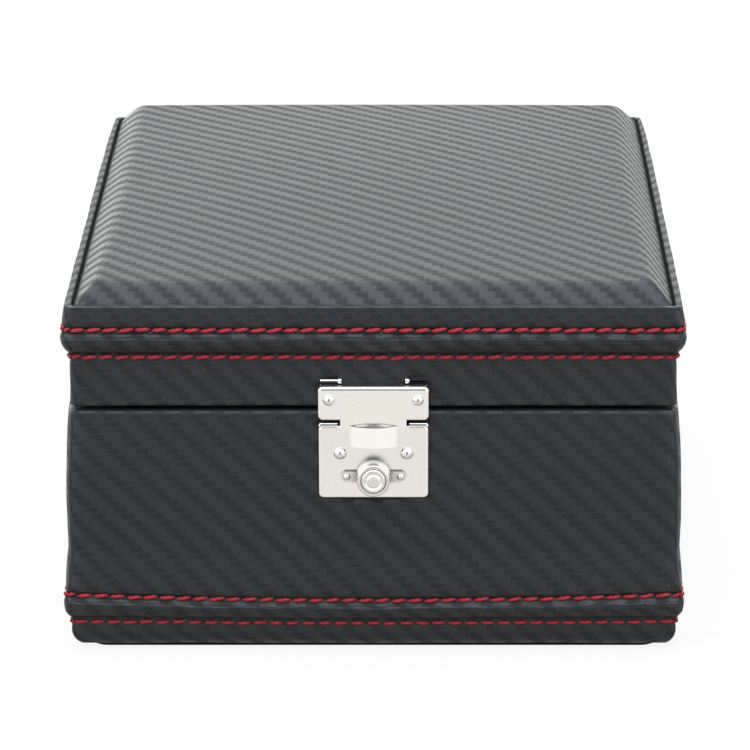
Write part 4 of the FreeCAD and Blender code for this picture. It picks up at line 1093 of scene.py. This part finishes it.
def inflate(piece: Object, held: Array, pressure: float, cap: float,
            quality: int = 6, frames: int = 20) -> None:
    """Swell a padded piece as cloth under pressure from inside, and write the result into its mesh.

    Args:
        piece: piece whose cover swells.
        held: which points are sewn or rest on something, and stay.
        pressure: push from inside.
        cap: furthest that a point may move, in millimetres.
        quality: steps of the simulation in a frame.
        frames: frames until it is at rest.
    """
    scene = bpy.context.scene
    group = piece.vertex_groups.new(name="held")
    group.add(np.flatnonzero(held).tolist(), 1.0, "REPLACE")
    cloth = piece.modifiers.new("cloth", "CLOTH")
    cloth.settings.quality = quality
    cloth.settings.vertex_group_mass = group.name
    cloth.settings.use_pressure = True
    cloth.settings.uniform_pressure_force = pressure
    cloth.settings.effector_weights.gravity = 0.0
    cloth.point_cache.frame_end = frames
    for step in range(1, frames + 1):
        scene.frame_set(step)
    before = places_of(piece)
    move = places_of(piece.evaluated_get(bpy.context.evaluated_depsgraph_get())) - before
    far = np.linalg.norm(move, axis=1, keepdims=True)
    move *= np.minimum(1, cap * MM / np.maximum(far, TINY))
    piece.modifiers.remove(cloth)
    piece.vertex_groups.remove(group)
    piece.data.vertices.foreach_set("co", (before + move).ravel())
    piece.data.update()
    scene.frame_set(1)
    log.info("%s swelled by up to %.1f mm", piece.name, float(np.linalg.norm(move, axis=1).max() / MM))


@dataclass(frozen=True)
class WatchCushion:
    """Stuffed velvet cushion that holds a watch: a soft block with a crowned top and a flat foot."""

    half_long: float = 33.2
    half_wide: float = 24.6
    foot: float = 8.75
    shoulder: float = 46.7
    crown: float = 6.0
    swell: float = 1.6
    corner: float = 7.0
    step: float = 2.6

    def shape(self) -> tuple[Array, Array]:
        """Shape the cushion about the origin.

        The grid on a box is drawn in to rounded edges: a point is its nearest one in the box less the corner,
        plus the corner's length along what is left. Then the top rises by the crown times
        (1 - x^2/2)(1 - y^2), and the sides swell by sin(pi h) at a share h of the height.

        Returns:
            Points in millimetres and faces.
        """
        half = np.array([self.half_long, self.half_wide, (self.shoulder - self.foot) / 2])
        points, faces = self._box(half, np.maximum(np.round(2 * half / self.step), 4).astype(int))
        core = np.clip(points, -(half - self.corner), half - self.corner)
        rest = points - core
        points = core + self.corner * rest / np.maximum(np.linalg.norm(rest, axis=1, keepdims=True), TINY)
        share = points / half
        rise = (share[:, 2] + 1) / 2
        points[:, 1] += np.sign(share[:, 1]) * self.swell * np.sin(math.pi * rise) * np.abs(share[:, 1])
        points[:, 2] += self.crown * rise ** 2 * (1 - share[:, 0] ** 2 / 2) * (1 - share[:, 1] ** 2)
        points[:, 2] += self.foot + half[2]
        return points, faces

    @staticmethod
    def _box(half: Array, parts: Array) -> tuple[Array, Array]:
        """Grid of quads on a box, with the points of shared edges merged.

        Args:
            half: half sizes.
            parts: quads along each axis.

        Returns:
            Points and outward faces.
        """
        sheets, quads, start = [], [], 0
        for axis in range(3):
            first, second = (axis + 1) % 3, (axis + 2) % 3
            for end in (0, parts[axis]):
                a, b = np.meshgrid(np.arange(parts[first] + 1), np.arange(parts[second] + 1), indexing="ij")
                sheet = np.empty(a.shape + (3,), int)
                sheet[..., axis], sheet[..., first], sheet[..., second] = end, a, b
                faces = grid_faces(a.shape[0], a.shape[1], False, False) + start
                quads.append(faces if end else faces[:, ::-1])
                sheets.append(sheet.reshape(-1, 3))
                start += a.size
        steps, numbers = np.unique(np.concatenate(sheets), axis=0, return_inverse=True)
        return (2 * steps / parts - 1) * half, numbers.ravel()[np.concatenate(quads)]


def bar(name: str, across: Array, section: tuple[Array, Array], caps: list[list[int]],
        mirrored: bool, sharp: float) -> Object:
    """Build a bar along the front of the box.

    Args:
        name: name of the piece.
        across: places of its columns.
        section: distances out and heights, one row for each column.
        caps: faces that close its first end, in corners of the section.
        mirrored: whether there is a second one on the other side.
        sharp: angle in degrees past which an edge stays sharp.

    Returns:
        The bar, with its faces outwards where the section runs up the front and back over the top.
    """
    out, up = section
    columns, rows = out.shape
    points = np.stack([np.broadcast_to(across[:, None], out.shape), -out, up], axis=-1).reshape(-1, 3)
    cap = np.array(caps)
    faces = np.concatenate([grid_faces(columns, rows, False, True), cap, cap[:, ::-1] + rows * (columns - 1)])
    if mirrored:
        faces = np.concatenate([faces, faces[:, ::-1] + len(points)])
        points = np.concatenate([points, points * [-1, 1, 1]])
    return make_mesh(name, points, faces, sharp=sharp)


@dataclass(frozen=True)
class HoodLip:
    """Lip bent in along the top of the thumb hood, which all but closes it."""

    half: float = 5.95
    back: float = 105.5
    ends: float = 105.8
    bow: float = 1.5
    top: float = 66.82
    sheet: float = 0.6
    columns: int = 25

    def build(self) -> Object:
        """Build the lip as a flat plate between the flap's sheet and the bowed inside of the hood.

        Its front edge is an arc of radius r = (half^2 + bow^2) / (2 bow), which stands
        sqrt(r^2 - x^2) - r + bow in front of its ends.

        Returns:
            The lip.
        """
        across = np.linspace(-self.half, self.half, self.columns)
        radius = (self.half ** 2 + self.bow ** 2) / (2 * self.bow)
        front = self.ends + np.sqrt(radius ** 2 - across ** 2) - radius + self.bow
        back = np.full_like(across, self.back)
        out = np.stack([back, front, front, back], axis=1)
        up = np.broadcast_to(self.top - self.sheet * np.array([1, 1, 0, 0]), out.shape)
        return bar("hood_lip", across, (out, up), [[0, 1, 2, 3]], mirrored=False, sharp=40)


@dataclass(frozen=True)
class PlateLip:
    """Rolled lip on the top edge of the lock plate, beside the place where the flap's tongue comes down."""

    near: float = 9.8
    far: float = 14.9
    face: float = 105.0
    back: float = 104.0
    foot: float = 66.5
    top: float = 67.6
    edge: float = 0.3
    corner: float = 0.7
    columns: int = 17

    def build(self) -> Object:
        """Build both lengths of the lip as a bar with a bevelled front edge.

        Towards its outer end the top falls as corner - sqrt(corner^2 - d^2), with d the way into the corner.

        Returns:
            The lip.
        """
        rounded = np.linspace(self.far - self.corner, self.far, self.columns - 1)
        across = np.concatenate([[self.near], rounded])
        into = np.clip(across - self.far + self.corner, 0, None)
        top = self.top - self.corner + np.sqrt(np.clip(self.corner ** 2 - into ** 2, 0, None))
        foot = np.full_like(top, self.foot)
        face, edge = self.face, self.edge
        section = [self.back, face, face, face - edge / 3, face - edge, self.back]
        out = np.broadcast_to(section, (self.columns, 6))
        up = np.stack([foot, foot, top - edge, top - edge / 3, top, top], axis=1)
        return bar("lock_plate_lip", across, (out, up), [[0, 1, 2, 3], [0, 3, 4, 5]], mirrored=True, sharp=50)


def straight_rays(tree: NodeTree, seen: Node) -> Node:
    """Make a value of 1 for rays of the camera, of mirrors and of glass, and of 0 for those of matt faces."""
    straight = add(tree, "Math", [seen.outputs["Is Camera Ray"], seen.outputs["Is Glossy Ray"]],
                   operation="MAXIMUM")
    return add(tree, "Math", [straight, seen.outputs["Is Transmission Ray"]], operation="MAXIMUM")


@dataclass(frozen=True)
class PaperSweep(Finish):
    """White paper in a bright room: it glows for the camera and for mirrors, and keeps the box's shadow."""

    name: str = "white_paper_sweep"
    paper: str = "#6E6E6E"
    glow: float = 0.88
    near: float = 60.0
    # painted shadow: the share of glow left in mirrors where the box hides most of the floor
    shadow_in_mirrors: float = 0.65

    def surface(self, tree: NodeTree) -> Node:
        """Build the paper. In mirrors its glow is dimmer near the box, a painted shadow from ambient
        occlusion.
        """
        paper = add(tree, "BsdfDiffuse", {"Color": linear(self.paper)})
        seen = add(tree, "LightPath")
        level = add(tree, "Math", [straight_rays(tree, seen), self.glow], operation="MULTIPLY")
        # Painted shadow: ambient occlusion dims the glow that mirrors see near the box.
        near = add(tree, "AmbientOcclusion", {"Distance": self.near * MM}, samples=8)
        near = add(tree, "MapRange", [near.outputs["AO"], 0.5, 1.0, self.shadow_in_mirrors])
        near = add(tree, "Math", [near, seen.outputs["Is Camera Ray"]], operation="MAXIMUM")
        level = add(tree, "Math", [level, near], operation="MULTIPLY")
        glow = add(tree, "Emission", {"Color": (1, 1, 1, 1), "Strength": level})
        return add(tree, "AddShader", [paper, glow])


@dataclass(frozen=True)
class SoftBox:
    """Lamp with a wide soft face."""

    name: str
    place: tuple[float, float, float]
    size: float
    power: float
    aim: tuple[float, float, float] = (0.0, 0.0, 0.05)

    def hang(self, scene: Scene) -> None:
        """Hang the lamp at its place, turned to what it lights, and out of sight of mirrors."""
        lamp = bpy.data.lights.new(self.name, "AREA")
        lamp.size = self.size
        lamp.energy = self.power
        holder = bpy.data.objects.new(self.name, lamp)
        holder.visible_glossy = False
        holder.location = self.place
        back = np.array(self.place) - np.array(self.aim)
        holder.rotation_euler = (math.acos(back[2] / np.linalg.norm(back)), 0,
                                 math.atan2(back[1], back[0]) + math.pi / 2)
        scene.collection.objects.link(holder)


@dataclass(frozen=True)
class Studio:
    """White sweep, soft lamps and a camera at the photograph's angle."""

    frame_pixels: float = 750.0
    focal_pixels: float = 4200.0
    pitch: float = 18.0
    rim_depth: float = 1.135
    rim_out: float = 0.0011
    rim_pixel: tuple[float, float] = (373.2, 305.6)
    axis_pixel: float = 408.7
    floor_half: float = 600.0
    floor_drop: float = 0.02
    even_light: float = 0.5
    lamps: tuple[SoftBox, ...] = (SoftBox("overhead_box", (0.0, -0.2, 1.6), 1.8, 16.0),
                                  SoftBox("front_box", (-1.1, -1.7, 1.2), 1.0, 10.0))

    def build(self) -> None:
        """Set up the floor, the world, the lamps and the camera."""
        scene = bpy.context.scene
        scene.view_settings.view_transform = "Standard"
        self._floor()
        self._world(scene)
        for lamp in self.lamps:
            lamp.hang(scene)
        self._camera(scene)

    def _floor(self) -> None:
        """Lay a wide white floor just under the box."""
        corners = np.array([[-1, -1, 0], [1, -1, 0], [1, 1, 0], [-1, 1, 0]])
        points = corners * self.floor_half - [0, 0, self.floor_drop]
        floor = make_mesh("floor", points, np.array([[0, 1, 2, 3]]))
        floor.data.materials.append(PaperSweep().material())

    def _world(self, scene: Scene) -> None:
        """Fill the room with even light for matt faces, and give mirrors a room to show.

        Seen in a mirror, the wall behind the box is brightest, more so to the left, the ceiling is a cool
        white, and someone dark stands behind the camera.
        """
        world = bpy.data.worlds.new("studio")
        scene.world = world
        world.use_nodes = True
        tree = world.node_tree
        tree.nodes.clear()
        aim = add(tree, "SeparateXYZ", [add(tree, "TexCoord").outputs["Generated"]])
        across = add(tree, "Math", [aim.outputs[0]], operation="ABSOLUTE")
        narrow = add(tree, "MapRange", [across, 0.32, 0.2])
        tall = add(tree, "MapRange", [aim.outputs[2], 0.48, 0.34])
        person = add(tree, "Math", [narrow, tall], operation="MULTIPLY")
        front = add(tree, "Mix", {0: person, 6: linear("#EAEFFF"), 7: linear("#2B2A29")}, data_type="RGBA")
        behind = add(tree, "ValToRGB", [aim.outputs[2]],
                     ((0.1, "#F4F6F3"), (0.28, "#E4E4DE"), (1.0, "#EAEEF8")))
        side = add(tree, "MapRange", [aim.outputs[1], -0.2, 0.1])
        mirrored = add(tree, "Mix", {0: side, 6: front.outputs[2], 7: behind}, data_type="RGBA")
        even = add(tree, "Background", {"Color": (1, 1, 1, 1), "Strength": self.even_light})
        lift = add(tree, "MapRange", [aim.outputs[2], 0.5, 0.9, 2.3, 4.0])
        window = add(tree, "MapRange", [aim.outputs[0], -0.12, -0.45, 0.0, 0.4])
        window = add(tree, "Math", [window, side], operation="MULTIPLY")
        lift = add(tree, "Math", [lift, window, lift], operation="MULTIPLY_ADD")
        room = add(tree, "Background", {"Color": mirrored.outputs[2], "Strength": lift})
        straight = straight_rays(tree, add(tree, "LightPath"))
        add(tree, "OutputWorld", {"Surface": add(tree, "MixShader", [straight, even, room])})

    def _camera(self, scene: Scene) -> None:
        """Place the camera so that the lid's front rim falls on its place in the picture.

        The focal length in pixels gives the lens. The rim's middle lies at the rim depth along the axis,
        moved sideways and up by its pixel's offset from it. A lens shift puts the axis right of the middle.
        """
        data = bpy.data.cameras.new("camera")
        data.sensor_width = 36.0
        data.lens = data.sensor_width * self.focal_pixels / self.frame_pixels
        data.clip_start = 0.05
        middle = self.frame_pixels / 2
        data.shift_x = (middle - self.axis_pixel) / self.frame_pixels
        camera = bpy.data.objects.new("camera", data)
        pitch = math.radians(self.pitch)
        forward = np.array([0.0, math.cos(pitch), -math.sin(pitch)])
        upward = np.array([0.0, math.sin(pitch), math.cos(pitch)])
        aside = (self.rim_pixel[0] - self.axis_pixel) / self.focal_pixels * self.rim_depth
        above = (middle - self.rim_pixel[1]) / self.focal_pixels * self.rim_depth
        _, cover_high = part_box("lid_cover")
        panel_low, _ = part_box("lid_panel")
        rim = np.array([0.0, panel_low[1] - self.rim_out, cover_high[2]])
        camera.location = rim - forward * self.rim_depth - np.array([aside, 0.0, 0.0]) - upward * above
        camera.rotation_euler = (math.pi / 2 - pitch, 0.0, 0.0)
        scene.collection.objects.link(camera)
        scene.camera = camera


class WatchBox:
    """The whole box: builds its wrapped halves, pads, stitches and metal in order."""

    corner = 3.0
    pillow_out = 0.2
    inner_held_above = 86.9
    cushion_held_below = 10.0

    def __init__(self) -> None:
        """Make the finishes and read the main sizes from the frame."""
        self.leather = CarbonLeatherette().material()
        self.thread = RedThread().material()
        # Crease colours are painted shade in creases; the hasp also gets a painted highlight on its thumb
        # hood and painted shade at its hinge.
        self.nickel = NickelPlate("polished_nickel_plate").material()
        self.hasp_nickel = NickelPlate("hasp_nickel_plate", crease_shade="#9A948A", thumb=106.0,
                                       hinge=(78.25, 80.0)).material()
        self.lock_nickel = NickelPlate("satin_nickel_plate", crease_shade="#5A544C", roughness=0.26).material()
        self.button_nickel = NickelPlate("turned_nickel_plate", "#DEDAD2", "#D2CEC5", roughness=0.22,
                                         crease=0.0).material()
        self.collar_nickel = NickelPlate("turned_nickel_ring", "#D9D5CD", "#CBC7BE", crease_shade="#2E2A25",
                                         roughness=0.09, crease=3.0, unshaded_above=0.95).material()
        self.velvet = Velvet().material()
        self.felt = PlainStock(
            "pressed_wool_felt", Pattern.FIBRES, size=0.6, valley=(0.35, "#0E0E0F"), ridge=(0.75, "#1D1D1F"),
            relief=0.2, strength=0.8, roughness=0.95, ior=1.4, detail=5.0, tangle=2.0).material()
        self.board = PlainStock(
            "medium_density_fibreboard", Pattern.FIBRES, size=1.2, valley=(0.35, "#7C5F3E"),
            ridge=(0.65, "#A88860"), relief=0.05, strength=0.3, roughness=0.8, detail=6.0).material()
        self.foam = PlainStock(
            "open_cell_foam", Pattern.CELLS, size=0.8, valley=(0.1, "#8E8C86"), ridge=(0.6, "#BDBBB4"),
            relief=0.3, strength=0.8, roughness=0.9).material()
        self.steel = SpringSteel().material()
        _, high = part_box("lid_panel")
        half_x, half_y = high[0] / MM, high[1] / MM
        self.base_loop = BoxLoop(half_x, half_y, self.corner,
                                 ((-7.0, 0.4), (1.5, 0.9), (3.4, 1.1), (4.3, 1.6), (5.0, 5.0)))
        self.lid_loop = BoxLoop(half_x, half_y, self.corner,
                                ((-7.0, 0.4), (0.9, 1.6), (2.7, 2.2), (3.6, 3.0), (4.2, 4.4)), thin=1.8)
        self.stitch = SaddleStitch()

    def dress_nodes(self) -> None:
        """Give every CAD node the material of its slot."""
        finishes = {"carbon_leatherette": self.leather, "fibreboard": self.board, "foam": self.foam,
                    "black_velvet": self.velvet, "felt": self.felt, "nickel": self.nickel,
                    "spring_steel": self.steel}
        special = {"hasp_flap": self.hasp_nickel, "hasp_hook": self.hasp_nickel,
                   "lock_plate": self.lock_nickel, "push_button": self.button_nickel,
                   "button_collar": self.collar_nickel, "collar_rivets": self.collar_nickel,
                   "lock_plate_nails": self.collar_nickel, "hasp_rivets": self.collar_nickel}
        for part in frame["record"]["subparts"]:
            node = frame["nodes"][part["node"]]
            node.data.materials.clear()
            node.data.materials.append(special.get(part["node"], finishes[part["material_slot"]]))

    def _wrap(self, case: WrappedCase, outside: Outline, inside: list[tuple[float, float]],
              seats: list[Seat]) -> None:
        """Build the cover of one half of the box, with the arguments that it takes, and sew its rows."""
        case.build(outside, inside, seats, self.leather)
        for row in case.rows:
            settle(self.stitch.sew(case.loop, row), case.body, self.thread)

    def wrap_base(self) -> None:
        """Wrap the base: foot, plinth, sewn roll, padded wall and rim."""
        rows = (StitchRow("base_stitches_lower", out=3.0, up=8.95, lean=0.0, phase=0.0, pull=0.35, sag=0.45,
                          long=3.4, slant=2.5, thick=0.84),
                StitchRow("base_stitches_upper", out=4.4, up=17.3, lean=8.0, phase=0.5, pull=1.1, sag=1.6,
                          long=3.65, thick=0.92))
        outside = (Outline(-13.0, 1.7).line(0.4, 1.7).arc(2.65, 6.2, 0.5).line(2.7, 10.2)
                   .arc(4.85, 14.4, 0.45).crest(4.4, 17.3).line(4.3, 21.3).arc(3.55, 29.3, 0.1)
                   .arc(2.5, 69.2, 0.55).arc(1.6, 70.2, 0.25).line(-6.9, 70.2))
        inside = [(-6.9, 68.6), (0.3, 68.6), (0.3, 3.1), (-13.0, 3.1)]
        seats = [Seat.under("lock_plate", 1.9), Seat(-8.0, 8.0, 46.2, 62.7, -5.3, True)]
        seats += [Seat.under(f"hinge_base_leaf_{side}", 1.45) for side in ("left", "right")]
        self._wrap(WrappedCase("base_leatherette", "base", "base_cover", self.base_loop, self.stitch, rows,
                               coarse=2.0, tuck=1.0), outside, inside, seats)

    def wrap_lid(self) -> None:
        """Wrap the lid's sides: skirt, sewn roll and thin rim."""
        rows = (StitchRow("lid_stitches_lower", out=1.95, up=85.3, lean=0.0, phase=0.5, pull=0.35, long=3.8,
                          slant=6.0),
                StitchRow("lid_stitches_upper", out=3.6, up=93.5, lean=8.0, phase=0.0, pull=1.25))
        outside = (Outline(-6.1, 71.2).line(0.9, 71.2).arc(1.7, 72.0, 0.22).line(1.5, 77.0).line(1.5, 86.2)
                   .arc(4.15, 91.0, 0.55).crest(3.6, 93.5).arc(2.75, 99.5, 0.1).arc(2.45, 99.8, 0.1)
                   .line(1.2, 99.8).line(0.9, 99.5).line(0.9, 97.9))
        inside = [(-0.6, 97.9), (-0.6, 72.7), (-6.1, 72.7)]
        self._wrap(WrappedCase("lid_leatherette", "lid", "lid_cover", self.lid_loop, self.stitch, rows),
                   outside, inside, [])

    def pad_lid(self) -> None:
        """Lay the pillow on the lid, and swell the pad inside it."""
        pillow = SoftPanel("lid_pillow_top", half_x=self.lid_loop.half_x + self.pillow_out,
                           half_y=self.lid_loop.half_y + self.pillow_out, corner=1.2, foot=97.8, hem=99.1,
                           bevel=7.4, bevel_rise=7.15, crown=2.3, facing=Axis.UP, blend=1.3, dip=2.2).build()
        settle(pillow, "lid", self.leather, ("lid_pillow",))
        inner = SoftPanel("lid_inner_velvet", half_x=73.6, half_y=92.6, corner=3.0, foot=93.8, hem=100.8,
                          bevel=6.0, bevel_rise=3.6, crown=1.6, facing=Axis.DOWN, blend=3.0,
                          spacing=3.0).build()
        settle(inner, "lid", self.velvet, ("lid_inner_pad",))
        inflate(inner, places_of(inner)[:, 2] > self.inner_held_above * MM, pressure=3.0, cap=1.0)

    def roll_lips(self) -> None:
        """Close the top of the thumb hood, and roll the top edge of the lock plate."""
        settle(HoodLip().build(), "hasp", self.hasp_nickel)
        settle(PlateLip().build(), "base", self.lock_nickel)

    def line_lid(self) -> None:
        """Glue a velvet band inside the lid's frame."""
        loop = BoxLoop(74.8, 93.8, 0.8, ((0.0, 0.8),))
        columns = 80
        section = np.array([[-0.02, 72.5], [-0.02, 93.2], [-0.4, 93.2], [-0.4, 72.5]])
        points = loop.carry(*loop.at(np.arange(columns) * loop.length() / columns), section)
        band = make_mesh("lid_frame_velvet", points.reshape(-1, 3),
                         grid_faces(columns, len(section), True, True), sharp=40)
        settle(band, "lid", self.velvet)

    def fill_compartments(self) -> None:
        """Stuff one cushion and set it in each compartment."""
        points, faces = WatchCushion().shape()
        first = make_mesh("watch_pillow_1", points, faces)
        inflate(first, points[:, 2] < self.cushion_held_below, pressure=4.0, cap=2.0)
        swollen = places_of(first) / MM
        bpy.data.objects.remove(first)
        for number in range(1, 7):
            low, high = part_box(f"watch_cushion_{number}")
            middle = np.array([(low[0] + high[0]) / 2, (low[1] + high[1]) / 2, 0.0]) / MM
            cushion = make_mesh(f"watch_pillow_{number}", swollen + middle, faces)
            smooth = cushion.modifiers.new("smooth", "SUBSURF")
            smooth.levels = smooth.render_levels = 1
            settle(cushion, "base", self.velvet, (f"watch_cushion_{number}",))


def main() -> None:
    """Build the classes in order and report each piece."""
    logging.basicConfig(level=logging.INFO, format="%(name)s: %(message)s")
    box = WatchBox()
    box.dress_nodes()
    box.wrap_base()
    box.wrap_lid()
    box.pad_lid()
    box.roll_lips()
    box.line_lid()
    box.fill_compartments()
    Studio().build()


if __name__ == "__main__":
    main()
